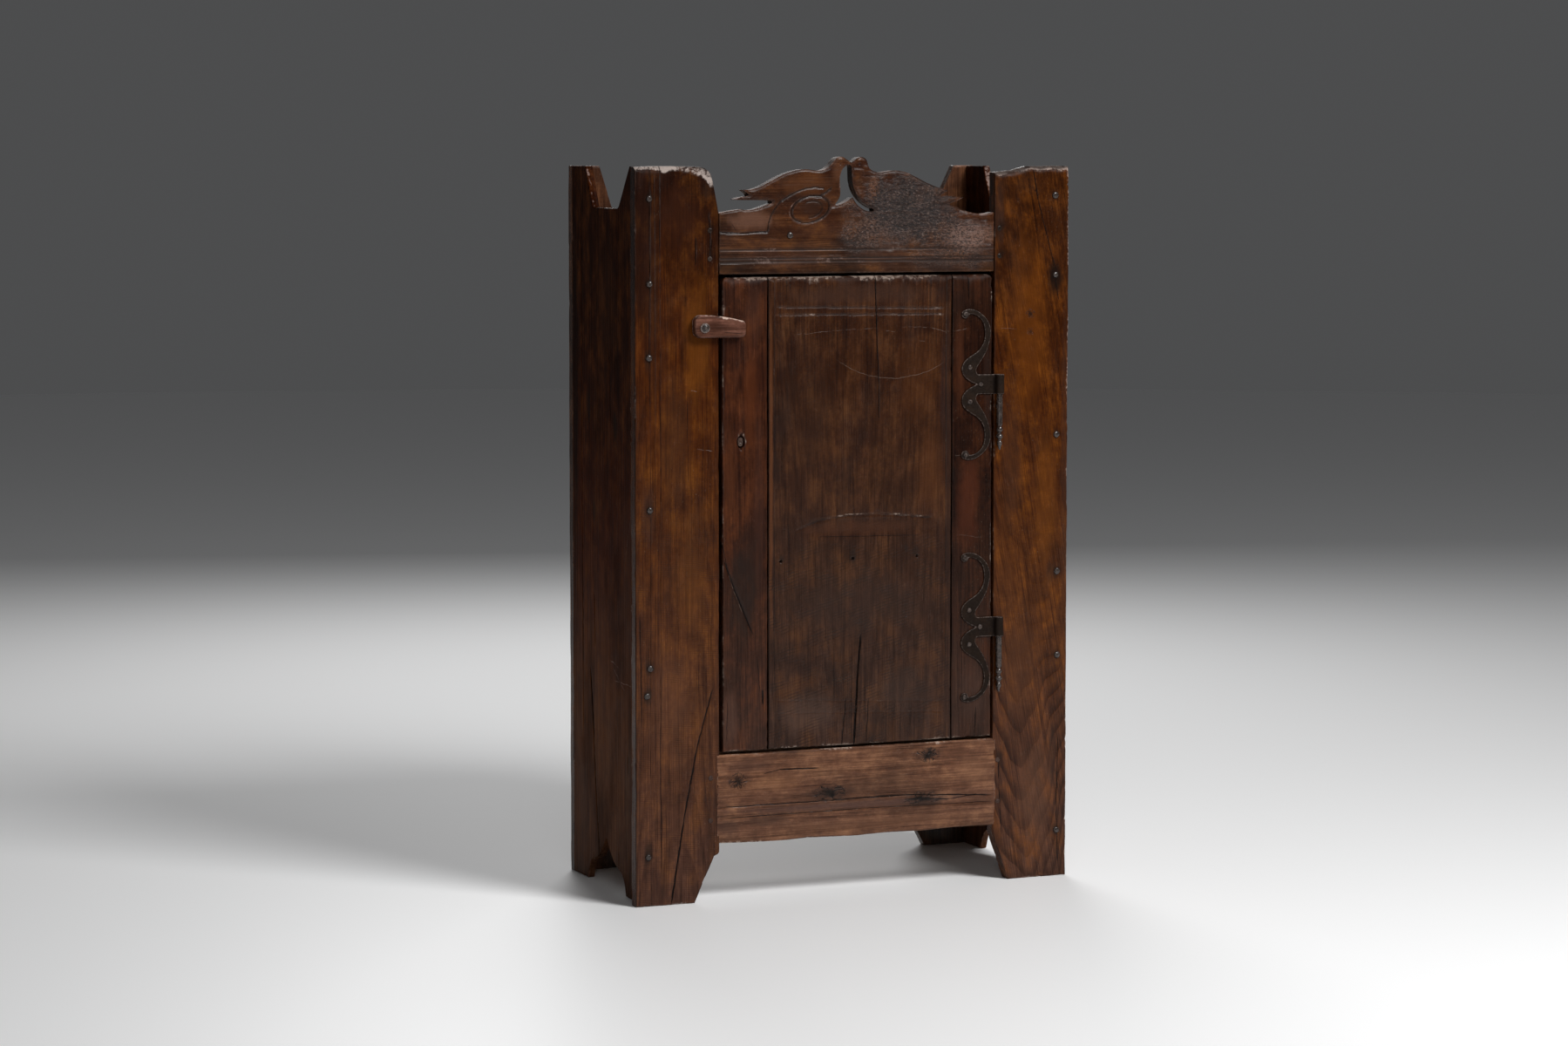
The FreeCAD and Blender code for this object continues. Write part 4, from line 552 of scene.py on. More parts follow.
    if scratches:
        uneven_mask = ease(tree, noise(tree, vector, 120, 3), 0.35, 0.6, 0.0, scratch)
        mask = times(tree, lines(scratches, 0.006), uneven_mask)
        colour = tint(tree, mask, colour, (*pale, 1))
        height = minus(tree, height, times(tree, mask, 0.5))
    # How pale (wear and painted highlights) and how dark (grime and painted shade) the mesh marks each point
    bare_and_lit = put(tree, "ShaderNodeAttribute", out=2, attribute_name="wear_and_highlight")
    dirt_and_shade = put(tree, "ShaderNodeAttribute", out=2, attribute_name="hollow")
    colour = put(tree, "ShaderNodeGroup", {
        "Vector": vector, "Colour": colour, "Wear and highlight": bare_and_lit, "Hollow": dirt_and_shade, "Pale": (*pale, 1),
        "Amount": wear}, node_tree=wear_and_painted_light)
    # Cracks painted near black: painted shade standing in for the shadow inside each crack
    if cracks:
        mask = lines(cracks, 0.003)
        colour = tint(tree, times(tree, mask, 0.93), colour, (0.004, 0.002, 0.0015, 1))
        height = minus(tree, height, times(tree, mask, 2.5))
    smudged = times(tree, noise(tree, vector, 23, 3), 0.5)
    rough = plus(tree, times(tree, body.outputs["Dull"], 0.6), smudged)
    rough = calc(tree, "MULTIPLY_ADD", ease(tree, bare_and_lit, 0.1, 0.5), 0.4,
                 ease(tree, rough, 0.25, 0.8, *gloss))
    raised = put(tree, "ShaderNodeBump", {"Height": height, "Distance": 0.0012, "Strength": bump})
    shader = put(tree, "ShaderNodeBsdfPrincipled", {
        "Base Color": colour, "Specular IOR Level": shine, "Roughness": rough, "Normal": raised})
    put(tree, "ShaderNodeOutputMaterial", {0: shader}, None)
    return finish


def finish_piece(piece, material, body, slot, *nodes):
    """Gives a piece its finish and its body, and lets it stand for its CAD nodes. slot is not used."""
    piece.data.materials.clear()
    piece.data.materials.append(material)
    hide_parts(*nodes)
    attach(piece, body)
    return piece


def halo(W, S, places, reach):
    """Dark stain round nails, blackest at the iron."""
    stain = 0 * W
    for across, up in places:
        off = (np.hypot(W - across, (S - up) * 0.75)
               / (reach * (1 + 0.3 * drift((W - across) / 5, (S - up) / 5, 17))))
        stain = np.maximum(stain, np.clip(1.25 - off, 0, 1))
    return 0.85 * stain


left_nail_places = [(21.7, 81), (20, 344), (25.5, 389), (25.5, 645.5), (24.6, 891.5), (25.5, 1010.5),
                    (25.5, 1147.5), (131, 1099), (131, 1054)]
left_cracks = [([(134, 351), (106, 253), (84, 141), (61, 4)], 2.0, 1.6),
               ([(105, 1047), (106, 1082)], 2.2, 1.5),
               ([(127, 1132), (131, 1098), (128, 1040)], 1.4, 1.2),
               ([(8, 480), (11, 300), (7, 190)], 1.2, 0.8)]
left_scratched = [(26, 0.85), (34.5, 0.7), (44, 0.8)]


def left_face(W, S):
    cut = uneven(W, S, 21, (48, 240), (9, 120), 0.22, 0.07)
    for line, depth in left_scratched:
        broken = np.clip(0.9 + 0.5 * drift(S / 60, line, 23) + 0.55 * drift(S / 4.5, line, 26), 0, 1.5)
        off = np.abs(W - line - 0.9 * drift(S / 210, line, 24))
        cut = cut + depth * broken * np.clip(1 - (off / 1.1) ** 2, 0, 1)
    cut = cracked(cut, W, S, left_cracks)
    edge = np.interp(W, [0, 95, 115, 125, 130], [1189, 1188, 1183, 1174, 1166])
    cut = cut + 2.0 * np.clip((S - 1180) / 20, 0, 1) ** 2 * np.clip((W - 70) / 60, 0, 1)
    # Pale band along the top: a painted highlight of the light from above on the bevel
    painted_top_highlight = 1.2 * np.clip((S - edge + 3 * drift(W / 13, 0, 25)) / 4, 0, 1)
    return cut, painted_top_highlight, halo(W, S, left_nail_places, 8)


beside = (-1.1, -0.55, 0, 0.55, 1.1)
left_columns = stations(0, 1.6, 146, extra=[line + k for line, _ in left_scratched for k in beside])
left_stile = plank(
    "left_front_stile", stations(0, 3, 96, 6.5, 1110, 3, 1200), left_columns, 23,
    lambda w, s, t: spot(w, t, s),
    high=lambda s: np.interp(s, [0, 75, 79, 1124, 1152, 1178, 1188, 1194, 1198, 1200],
                             [103, 137, 146, 146, 140.5, 135.5, 132, 127.5, 121, 113]),
    top=lambda w: np.interp(w, [0, 30, 76, 122], [1198.4, 1200, 1199.8, 1199]), keep=(0.01, 60),
    keep_along=(100, 1150), face=left_face, arris=2.2, end_arris=(1.5, 7.5), chips=1.0, joints=(0.5, 0.6),
    seed=3)
left_wood = wood(
    "left_stile_wood", [(0, (.066, .027, .016)), (250, (.068, .023, .009)), (600, (.056, .015, .003)),
                        (900, (.050, .0115, .0015)), (1060, (.028, .0065, .001)),
                        (1190, (.017, .004, .001))], streak=(.098, .031, .004), stain=(.016, .005, .002),
    pale=(.33, .27, .24), streaks=0.45, saw=(-0.1, 0.0034, 0.5, 640), rings=0.5, ring_width=0.0055,
    pith=(-0.30, 0.09, 0), lean=0.012, dip=0.05, seed=1.0, specks=0.2,
    patches=[(108, 920, 26, 120, (.12, .037, .004), 0.5), (70, 760, 30, 150, (.045, .017, .007), 0.5),
             (13, 1060, 17, 150, (.010, .003, .0015), 0.85), (30, 1000, 14, 190, (.014, .005, .003), 0.7),
             (22, 640, 14, 60, (.03, .013, .008), 0.6), (96, 520, 30, 110, (.10, .034, .008), 0.4),
             (75, 1120, 40, 60, (.028, .008, .003), 0.6), (60, 330, 40, 120, (.09, .036, .018), 0.4),
             (22, 86, 9, 22, (.02, .01, .006), 0.7), (22, 344, 8, 24, (.02, .01, .006), 0.7),
             (127, 1165, 12, 20, (.014, .007, .004), 0.6), (22, 390, 7, 20, (.02, .01, .006), 0.6),
             (22, 891, 7, 18, (.02, .01, .006), 0.6)],
    cracks=[(134, 351, 106, 253, 1.0), (106, 253, 84, 141, 1.3), (84, 141, 61, 0, 1.5),
            (105, 1040, 106, 1084, 1.1), (127, 1118, 131, 1098, 0.9), (134, 1082, 130, 1054, 0.8),
            (8, 480, 11, 300, 0.8), (42, 300, 44, 60, 0.7), (90, 820, 92, 690, 0.5),
            (26, 1135, 26, 1022, 0.7), (25.5, 985, 25, 880, 0.6)],
    scratches=[(108, 742, 134, 738, 0.5), (96, 838, 108, 836, 0.5)], scratch=0.35)
finish_piece(left_stile, left_wood, "carcass", "front_wood", "front_left_stile")

# Right front stile: The other hewn stile, of warmer wood, cut straight down its outer edge and splayed at
# the foot only on the inner side, where flat-sawn rings make nested arches. Its top slopes inwards and
# was left rough from the axe.
right_cracks = [([(709, 1193), (719, 1141), (735, 1083), (751, 1026)], 1.6, 1.3),
                ([(700, 1180), (704, 1150)], 1.2, 1.0), ([(760, 240), (757, 120), (761, 30)], 1.4, 1.0),
                ([(648, 210), (655, 60)], 1.2, 0.8)]
right_nail_places = [(757, 78), (757, 376.5), (756.2, 518.5), (754.1, 749.5), (751, 1017.6),
                     (750, 1150.5), (651, 1099), (651, 1054), (653, 210), (653, 138)]


def right_face(W, S):
    cut = cracked(uneven(W, S, 31, (52, 210), (9, 110), 0.24, 0.07), W, S, right_cracks)
    for across, up in ((709, 1164), (713, 1158), (719, 1152), (681, 1142)):
        cut = cut + 2.0 * np.clip(1 - np.hypot(W - across, S - up) / 2.2, 0, 1)
    edge = np.interp(W, [637.5, 670, 699, 775.5], [1189, 1192.5, 1199.5, 1199.5])
    facet = 5 * np.abs((W - 637.5) / 34 % 1 - 0.5)
    cut = cut + np.clip((S - edge + 14 - facet) / 14, 0, 1) ** 1.5 * 2.6
    stained = np.maximum(halo(W, S, right_nail_places, 8), halo(W, S, [(751, 1015)], 15))
    # Pale band along the top: a painted highlight of the light from above on the bevel
    painted_top_highlight = 1.2 * np.clip((S - edge + 10 - facet + 2 * drift(W / 9, 0, 33)) / 4, 0, 1)
    return cut, painted_top_highlight, stained


right_stile = plank(
    "right_front_stile", stations(0, 3, 96, 6.5, 1120, 2.4, 1200), stations(637.5, 1.6, 775.5), 23,
    lambda w, s, t: spot(w, t, s), low=lambda s: np.interp(s, [0, 79, 1200], [666.5, 637.5, 637.5]),
    high=lambda s: np.interp(s, [0, 1186, 1192, 1197, 1200], [775.5, 775.5, 773.6, 769.5, 764]),
    top=lambda w: np.interp(w, [637.5, 655, 670, 699, 775.5], [1189, 1191, 1192.5, 1199.5, 1199.5]),
    keep=(680, 775.49), keep_along=(100, 1110), face=right_face, arris=2.4, end_arris=(1.5, 6.5),
    chips=1.2, joints=(0.5, 0), seed=13)
right_wood = wood(
    "right_stile_wood", [(0, (.062, .026, .015)), (200, (.072, .026, .012)), (450, (.060, .018, .0045)),
                         (800, (.040, .0092, .0012)), (1180, (.028, .0072, .001))],
    streak=(.096, .027, .003), stain=(.015, .005, .002), slant=0.16, ripple=0.3, pale=(.36, .27, .23),
    streaks=0.7, rings=(1.0, 0.3, 260, 460), ring_width=0.0036, pith=(0.312, 0.016, 0), lean=0.012,
    dip=-0.075, wander=0.035, seed=4.0, specks=0.2,
    patches=[(700, 930, 40, 170, (.11, .030, .003), 0.5), (735, 640, 24, 150, (.10, .030, .004), 0.45),
             (750, 1011, 16, 34, (.005, .003, .0022), 1.0), (672, 720, 24, 150, (.045, .017, .008), 0.5),
             (750, 214, 8, 80, (.022, .01, .006), 0.6), (700, 1168, 26, 22, (.02, .008, .004), 0.45),
             (648, 1120, 10, 60, (.03, .014, .009), 0.6), (716, 140, 34, 110, (.10, .045, .024), 0.4),
             (746, 516, 12, 20, (.02, .01, .006), 0.6), (690, 360, 40, 110, (.055, .020, .008), 0.45),
             (768, 700, 7, 300, (.035, .015, .009), 0.5)],
    cracks=[(709, 1193, 719, 1141, 1.0), (719, 1141, 735, 1083, 0.9), (735, 1083, 751, 1026, 0.8),
            (700, 1180, 704, 1150, 0.7), (760, 240, 757, 120, 0.9), (757, 120, 761, 20, 0.8),
            (648, 210, 655, 60, 0.6), (751, 1008, 757, 975, 0.9)],
    knots=[(705, 953, 5, 4, 0.75), (705, 923, 3, 3, 0.6)], scratches=[(650, 930, 680, 928, 0.3)],
    scratch=0.2)
finish_piece(right_stile, right_wood, "carcass", "front_wood", "front_right_stile")

# Bottom rail: A knotty rail, the palest board of the front, tenoned into both stiles under the door, with
# its lower edge wavy from the axe and a long shake along it.
rail_cracks = [([(147, 154), (337, 154), (478, 155), (636, 145)], 2.4, 1.4),
               ([(147, 136), (400, 137), (636, 134)], 1.6, 1.0), ([(175, 206), (185, 196)], 1.6, 1.2),
               ([(252, 211), (321, 209)], 2.0, 1.2)]


def rail_face(W, S):
    cut = uneven(W, S, 41, (40, 150), (7, 70), 0.22)
    return cracked(cut, W, S, rail_cracks, level=True), 0 * W, 0 * W


bottom_rail = plank(
    "bottom_rail_board", stations(141, 4.5, 643), stations(92, 1.5, 241), 23,
    lambda w, s, t: spot(s, t, w),
    low=lambda s: np.interp(s, [141, 180, 259, 300, 384, 440, 510, 570, 643],
                            [95, 93.5, 92.5, 94, 92, 93.5, 92, 94, 93]),
    face=rail_face, arris=2.6, end_arris=(0.5, 0.5), chips=1.3, seed=23)
rail_wood = wood(
    "bottom_rail_wood", [(90, (.100, .045, .026)), (165, (.108, .047, .026)), (240, (.108, .045, .023))],
    streak=(.165, .075, .038), stain=(.045, .021, .012), pale=(.34, .25, .20), along="X", rings=0.35,
    ring_width=0.006, pith=(0.165, -0.03, 0), lean=0.015, wander=0.06, streaks=0.9, seed=7.0, specks=0.3,
    wear=1.0, stains=0.6, ripple=0.05,
    knots=[(340, 168, 17, 9, 0.95), (520, 219, 12, 7, 0.9), (510, 147, 20, 6, 0.95),
           (178, 196, 10, 8, 0.8)],
    patches=[(340, 167, 50, 14, (.034, .017, .012), 0.8), (518, 221, 28, 11, (.028, .014, .010), 0.7),
             (390, 145, 260, 7, (.060, .032, .026), 0.75), (510, 139, 40, 9, (.020, .011, .008), 0.8),
             (230, 128, 50, 10, (.045, .024, .016), 0.5), (600, 190, 40, 30, (.17, .08, .042), 0.4),
             (200, 222, 60, 14, (.06, .028, .018), 0.5), (240, 190, 60, 16, (.21, .095, .045), 0.4),
             (160, 120, 22, 20, (.05, .026, .018), 0.5), (420, 112, 200, 12, (.15, .068, .036), 0.4)],
    cracks=[(147, 154, 337, 154, 0.9), (337, 154, 478, 155, 1.0), (478, 155, 636, 145, 0.9),
            (147, 136, 400, 137, 0.7), (400, 137, 636, 134, 0.6), (252, 211, 321, 209, 1.4),
            (224, 206, 256, 212, 0.7), (480, 148, 560, 143, 1.5), (560, 143, 610, 149, 0.9)],
    scratches=[(160, 175, 300, 190, 0.4), (420, 180, 540, 200, 0.4)], scratch=0.15)
finish_piece(bottom_rail, rail_wood, "carcass", "front_wood", "bottom_rail")

# Crest rail: The upper rail, sawn and carved out of one board as two kissing doves with feathered tails,
# a scratched wing on the left one, and three lines scratched under them. The left half is smooth and
# brown, the right rough and grey.


def worked_copy(node, name, cell, soften=2):
    """A finely divided copy of a CAD node, its arrises softened, with each point's distance in
    millimetres from the nearest arris."""
    shape = bmesh.new()
    shape.from_mesh(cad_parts[node].data)
    bmesh.ops.remove_doubles(shape, verts=shape.verts, dist=1e-5)
    sharp_turn, bead_gap = 0.6, 0.0012
    sharp = [edge for edge in shape.edges
             if len(edge.link_faces) == 2 and edge.calc_face_angle(0) > sharp_turn]
    beads = []
    for a, b in (edge.verts for edge in sharp):
        count = max(1, int((a.co - b.co).length / bead_gap))
        beads += [a.co.lerp(b.co, k / count) for k in range(count + 1)]
    nearest = KDTree(len(beads))
    for index, bead in enumerate(beads):
        nearest.insert(bead, index)
    nearest.balance()
    mesh = bpy.data.meshes.new(name + "_rough")
    shape.to_mesh(mesh)
    shape.free()
    rough = stand(name + "_rough", mesh)
    divided = rough.modifiers.new("divided", "REMESH")
    divided.mode, divided.voxel_size, divided.use_smooth_shade = "VOXEL", cell / 1000, True
    made = bpy.data.meshes.new_from_object(rough.evaluated_get(bpy.context.evaluated_depsgraph_get()))
    bpy.data.objects.remove(rough)
    made.name = name
    points = np.empty(len(made.vertices) * 3)
    made.vertices.foreach_get("co", points)
    points = points.reshape(-1, 3)
    edges = np.empty(len(made.edges) * 2, int)
    made.edges.foreach_get("vertices", edges)
    a, b = edges.reshape(-1, 2).T
    for _ in range(soften):
        total, count = np.zeros_like(points), np.zeros(len(points))
        np.add.at(total, a, points[b])
        np.add.at(total, b, points[a])
        np.add.at(count, a, 1)
        np.add.at(count, b, 1)
        points = points * 0.45 + 0.55 * total / count[:, None]
    distance = np.array([nearest.find(point)[2] for point in points]) * 1000
    made.vertices.foreach_set("co", points.ravel())
    made.update()
    normals = np.empty(len(points) * 3)
    made.vertex_normals.foreach_get("vector", normals)
    return stand(name, made), points, normals.reshape(-1, 3), distance


def pressed(points, normals, depth):
    """Moves points in from the surface by so many millimetres."""
    return points - normals * (depth / 1000)[:, None]


def shaped(piece, points, wear_and_highlight, hollow):
    """Puts worked points back in their mesh, with how pale (wear and painted highlight) and how dark (grime
    and painted shade) each one is.
    """
    piece.data.vertices.foreach_set("co", np.asarray(points, float).ravel())
    for label, values in (("wear_and_highlight", wear_and_highlight), ("hollow", hollow)):
        piece.data.attributes.new(label, "FLOAT", "POINT").data.foreach_set(
            "value", np.asarray(values, np.float32))
    piece.data.update()
    piece.data.shade_smooth()
    return piece


crest, points, normals, away = worked_copy("crest_rail", "carved_crest", 1.7)
x, y, z = measured(points)
facing = np.clip((-normals[:, 1] - 0.3) / 0.5, 0, 1)
side_on = np.clip(1 - np.abs(normals[:, 1]) * 1.3, 0, 1)


def groove_path(x, z, path, width):
    """How near each point is to a carved line through (across, up) points, 1 on it and 0 beside it."""
    best = np.full(x.shape, 1e9)
    for (ax, az), (bx, bz) in zip(path, path[1:]):
        length = (bx - ax) ** 2 + (bz - az) ** 2
        share = np.clip(((x - ax) * (bx - ax) + (z - az) * (bz - az)) / length, 0, 1)
        best = np.minimum(best, np.hypot(x - ax - share * (bx - ax), z - az - share * (bz - az)))
    return np.clip(1 - (best / (width / 2)) ** 2, 0, 1)


turn = math.radians(14)
u = (x - 306) * math.cos(turn) + (z - 1129) * math.sin(turn)
v = -(x - 306) * math.sin(turn) + (z - 1129) * math.cos(turn)
wing = np.hypot(u / 34, v / 21)
wing_cut = np.clip(1 - (np.abs(wing - 1) * 24 / 1.9) ** 2, 0, 1)
inner_wing = np.clip(1 - (np.abs(wing - 0.62) * 24 / 1.6) ** 2, 0, 1) * (u > -6)
wing_arc = groove_path(x, z, [
    (231, 1092), (232, 1105), (236, 1118), (244, 1131), (254, 1142), (267, 1150), (283, 1158), (298, 1163),
    (315, 1165), (329, 1163)], 3.0)
wing_crack = groove_path(x, z, [(303, 1150.5), (320, 1149.5), (331, 1154.5), (343, 1163)], 3.2)
crest_crack = groove_path(x, z, [(146, 1093), (165, 1090.5), (182, 1091), (205, 1091.5), (230, 1093)], 2.6)
eyes = (np.clip(1 - np.hypot(x - 359.5, z - 1203) / 2.4, 0, 1)
        + np.clip(1 - np.hypot(x - 393.5, z - 1203) / 2.4, 0, 1))
rough_half = np.clip((x - 362) / 24, 0, 1) * np.clip((z - 1030) / 40, 0.3, 1)
swell = 0.35 * (1 + drift(x / 40, z / 22, 51)) + 0.1 * (1 + drift(x / 14, z / 5, 52))
pitted = rough_half * (0.5 * (1 + drift(x / 14, z / 4.5, 53)) + 0.3 * (1 + drift(x / 8, z / 4, 54)))
lines, beside_lines = 0, 0
for level in (1044, 1049.5, 1064):
    off = z - level
    sway = 0.7 * drift(x / 120, level, 55)
    lines = lines + np.clip(1 - (np.abs(off - sway) / 1.5) ** 2, 0, 1)
    beside_lines = beside_lines + np.clip(1 - (np.abs(off - 1.9 - sway) / 1.3) ** 2, 0, 1)
bevel = (np.clip(1 - away / (4.5 + 2 * drift(x / 25, z / 25, 56)), 0, 1) ** 2
         * np.clip((z - 1118) / 10, 0, 1))
cut = (swell + pitted + 1.5 * wing_cut + 0.9 * inner_wing + 1.6 * wing_arc + 1.8 * crest_crack
       + 2.0 * wing_crack + 1.6 * eyes + 1.3 * lines + 2.2 * bevel)
y = y + facing * cut
y = y - np.clip((normals[:, 1] - 0.3) / 0.5, 0, 1) * 0.2 * (1 + drift(x / 30, z / 30, 57))
sideways = side_on * 0.5 * (1 + drift(x / 10, z / 10 + y / 8, 58)) * 0.6
points = spot(x, y, z) - normals * (sideways / 1000)[:, None] * np.array([1, 0, 1])
# Arrises pale from wear, more where they face up, and every upward face painted pale: painted highlight of
# the light from above
wear_and_highlight = np.exp(-away / 2.6) * (0.42 + 0.38 * np.clip(normals[:, 2] * 1.5, 0, 1))
wear_and_highlight = np.maximum(wear_and_highlight, 0.7 * np.clip(normals[:, 2] * 2 - 0.4, 0, 1))
# Carved cuts, cracks and eyes darkened: painted shade in the cuts, with grime
darkening = (1.2 * wing_cut + inner_wing * 0.8 + 1.2 * wing_arc + 1.3 * crest_crack + 1.3 * wing_crack + eyes
        + 0.9 * lines)
hollow = facing * np.clip(darkening, 0, 1)
# Pale lips beside the wing, above the arc and above the scratched lines: painted highlights
beside_wing = np.clip(1 - (np.abs(wing - 1.1) * 24 / 1.5) ** 2, 0, 1)
beside_arc = groove_path(x, z, [(232, 1108.5), (244, 1134), (267, 1153), (298, 1166), (329, 1166)], 2.2)
wear_and_highlight = np.maximum(wear_and_highlight, facing * (0.55 * beside_wing + 0.25 * beside_lines + 0.35 * beside_arc))
# Faces turned to the left darkened: painted shade
painted_shade_left_faces = np.clip(-normals[:, 0] * 1.5 - 0.2, 0, 1) * (z > 1100) * np.clip(away / 1.5, 0, 1)
hollow = np.maximum(hollow, 0.8 * painted_shade_left_faces)
shaped(crest, points, wear_and_highlight, hollow)
crest_wood = wood(
    "crest_wood", [(1024, (.022, .009, .004)), (1070, (.044, .018, .010)), (1125, (.036, .011, .004)),
                   (1200, (.028, .008, .003))], streak=(.068, .024, .007), stain=(.012, .005, .003),
    pale=(.22, .145, .12), along="X", rings=0.6, ring_width=0.004, pith=(1.10, -0.02, 0), lean=0.02,
    seed=9.0, specks=0.25, stains=0.6, wear=0.8, shine=0.12, gloss=(0.24, 0.38), bump=0.4, ripple=0.05,
    pits=[(475, 1128, 125, 72, 1.0), (400, 1085, 60, 34, 0.8), (570, 1080, 90, 46, 0.8),
          (560, 1045, 110, 20, 0.5)],
    scratch=0.25,
    # The grey-pink patch at (590, 1085) on the rough half is partly the grey wood, partly a painted sheen
    patches=[(306, 1129, 27, 17, (.022, .008, .004), 0.9),
             (480, 1125, 105, 70, (.022, .014, .0115), 0.95), (430, 1080, 60, 30, (.06, .034, .026), 0.5),
             (590, 1085, 50, 30, (.14, .085, .068), 0.7), (419, 1160, 13, 24, (.095, .032, .010), 0.7),
             (300, 1170, 60, 22, (.085, .028, .008), 0.5), (200, 1112, 50, 20, (.135, .066, .042), 0.6),
             (390, 1108, 40, 16, (.085, .032, .012), 0.4), (550, 1035, 90, 12, (.04, .02, .014), 0.4),
             (355, 1190, 14, 20, (.12, .05, .024), 0.4)],
    cracks=[(146, 1093, 182, 1091, 0.9), (182, 1091, 230, 1093, 1.0), (168, 1106, 175, 1095, 0.5),
            (560, 1100, 610, 1102, 0.6), (452, 1098, 500, 1103, 0.5)],
    scratches=[(170, 1052, 400, 1054, 0.4), (430, 1120, 520, 1140, 0.5), (440, 1090, 560, 1096, 0.5)])
finish_piece(crest, crest_wood, "carcass", "crest_wood", "crest_rail")

# Side boards: One wide board on each side, dark and dry, set in from the stiles' edges. Its top is
# notched between two horns and its foot cut to a pointed arch. Long shakes run up it from the floor.
side_cracks = [([(263, 359), (250, 290), (246, 237), (233, 130), (219, 40)], 3.0, 2.2),
               ([(241, 486), (237, 399)], 1.8, 1.3), ([(299, 1130), (300, 700), (298, 250)], 1.6, 0.9),
               ([(82, 246), (80, 203)], 1.4, 1.0), ([(142, 151), (142, 128)], 1.4, 1.0),
               ([(165, 900), (160, 780)], 1.2, 0.8)]


def side_face(W, S):
    cut = uneven(W, S, 61, (210, 45), (120, 9), ripple=0.09)
    return cracked(cut, W, S, side_cracks, 1.4, level=True), 0 * W, 0 * W


def arch(s):
    return np.interp(np.abs(s - 186), [0, 7, 18, 35, 50, 62, 62.01, 68, 75, 82, 88, 94],
                     [82, 75, 62, 48, 41, 38, 37, 36.5, 33, 26, 16, 0])


def painted_slope_highlight(W, S, share):
    """The notch's rear slope is painted pale as a highlight of the light falling on it, on the left board
    only beside its outer arris.
    """
    return np.where((W > 1128) & (S > 242) & (S < 282), np.clip(1.25 - share * 1.6, 0, 1), 0)


def notch(s):
    return np.interp(s, [23, 66, 70, 117, 123, 241, 246, 277, 279, 347],
                     [1199.6, 1199.6, 1195, 1135, 1131, 1131, 1134, 1195, 1199.6, 1199.6])


for side, outer, inward, seed, grain_seed in (("left", 15.5, 1, 33, 11.0), ("right", 760, -1, 43, 14.0)):
    board = plank(
        side + "_side_plank",
        stations(23, 2.1, 347, extra=[66, 70, 117, 123, 241, 246, 277, 279, 92, 280, 124, 248]),
        stations(0, 6.5, 100, 9, 1110, 6.5, 1200), 13,
        lambda w, s, t, outer=outer, inward=inward: spot(outer + inward * t, s, w), low=arch, high=notch,
        keep=(110, 1115), face=side_face,
        rim=painted_slope_highlight if side == "left" else lambda W, S, share: painted_slope_highlight(W, S, 0.3), arris=1.7,
        end_arris=(0.6, 0.6), chips=0.9, seed=seed)
    side_wood = wood(
        side + "_side_wood", [(0, (.090, .040, .022)), (250, (.104, .037, .013)),
                              (560, (.053, .009, .0004)), (900, (.028, .006, .001)),
                              (1190, (.022, .0045, .001))], streak=(.070, .020, .004),
        stain=(.012, .004, .002), pale=(.27, .19, .165), along="side", face="side", shine=0.02, rings=0.4,
        ring_width=0.008, pith=(0.25, -0.3, 0), lean=0.02, seed=grain_seed, specks=0.2, wear=0.7,
        ripple=0.2, gloss=(0.42, 0.62),
        patches=[(268, 802, 12, 30, (.008, .004, .003), 0.8), (137, 770, 18, 34, (.010, .005, .003), 0.8),
                 (241, 624, 12, 24, (.009, .005, .003), 0.7),
                 (334, 800, 18, 380, (.007, .0016, .0006), 0.9),
                 (80, 500, 40, 160, (.060, .024, .012), 0.45),
                 (180, 980, 60, 110, (.040, .014, .006), 0.4),
                 (60, 180, 40, 120, (.075, .040, .027), 0.45), (305, 120, 30, 90, (.07, .036, .024), 0.4),
                 (50, 900, 20, 140, (.018, .007, .004), 0.5)],
        cracks=[(263, 359, 246, 237, 1.6), (246, 237, 219, 40, 1.9), (241, 486, 237, 399, 1.0),
                (299, 1130, 300, 700, 0.8), (300, 700, 298, 250, 0.8), (82, 246, 80, 203, 0.8),
                (142, 151, 142, 128, 0.8), (165, 900, 160, 780, 0.6), (268, 790, 262, 700, 0.7),
                (137, 760, 140, 690, 0.6)],
        scratches=[(167, 385, 124, 376, 0.9), (142, 353, 61, 352, 0.8), (150, 372, 96, 340, 0.6),
                   (90, 560, 60, 640, 0.5)])
    finish_piece(board, side_wood, "carcass", "side_wood", side + "_side_board")

# Back stiles: Thinner stiles nailed on the side boards' rear edges, horned and footed like the front
# ones. Only the left foot and both horns show from the front; their sawn slopes are paler than their
# faces.
for side, outer, way, horn, seed in (("left", 15.5, 1, 50, 71), ("right", 760, -1, 37, 72)):
    stile = plank(
        side + "_back_stile", stations(0, 3, 100, 8, 1080, 3, 1200), stations(0, 3, 132), 19,
        lambda w, s, t, outer=outer, way=way: spot(outer + way * w, 366 - t, s),
        high=lambda s, horn=horn: np.interp(s, [0, 79, 1097, 1104, 1113, 1122, 1130, 1200],
                                            [90, 132, 132, 108, 90, 78, 72, horn]),
        keep=(0.01, 30), arris=1.8, end_arris=(1.5, 3.0), chips=0.9, seed=seed)
    stile_wood = wood(
        side + "_back_stile_wood", [(0, (.058, .031, .020)), (300, (.050, .024, .014)),
                                    (1100, (.052, .021, .010)), (1190, (.070, .028, .014))],
        streak=(.11, .042, .017), stain=(.014, .007, .005), pale=(.20, .105, .07), rings=0.4,
        pith=(way * 0.3, 0.3, 0), seed=seed / 5, wear=0.9,
        cracks=[(outer + way * 40, 420, outer + way * 36, 180, 0.9),
                (outer + way * 96, 980, outer + way * 100, 760, 0.8)])
    finish_piece(stile, stile_wood, "carcass", "side_wood", "back_" + side + "_stile")

# Top, bottom, shelves, cleats and back boards: Plain sawn boards of the same old wood, never waxed
# inside: the top and bottom housed in the sides, two shelves on nailed cleats, and three upright boards
# nailed on behind.


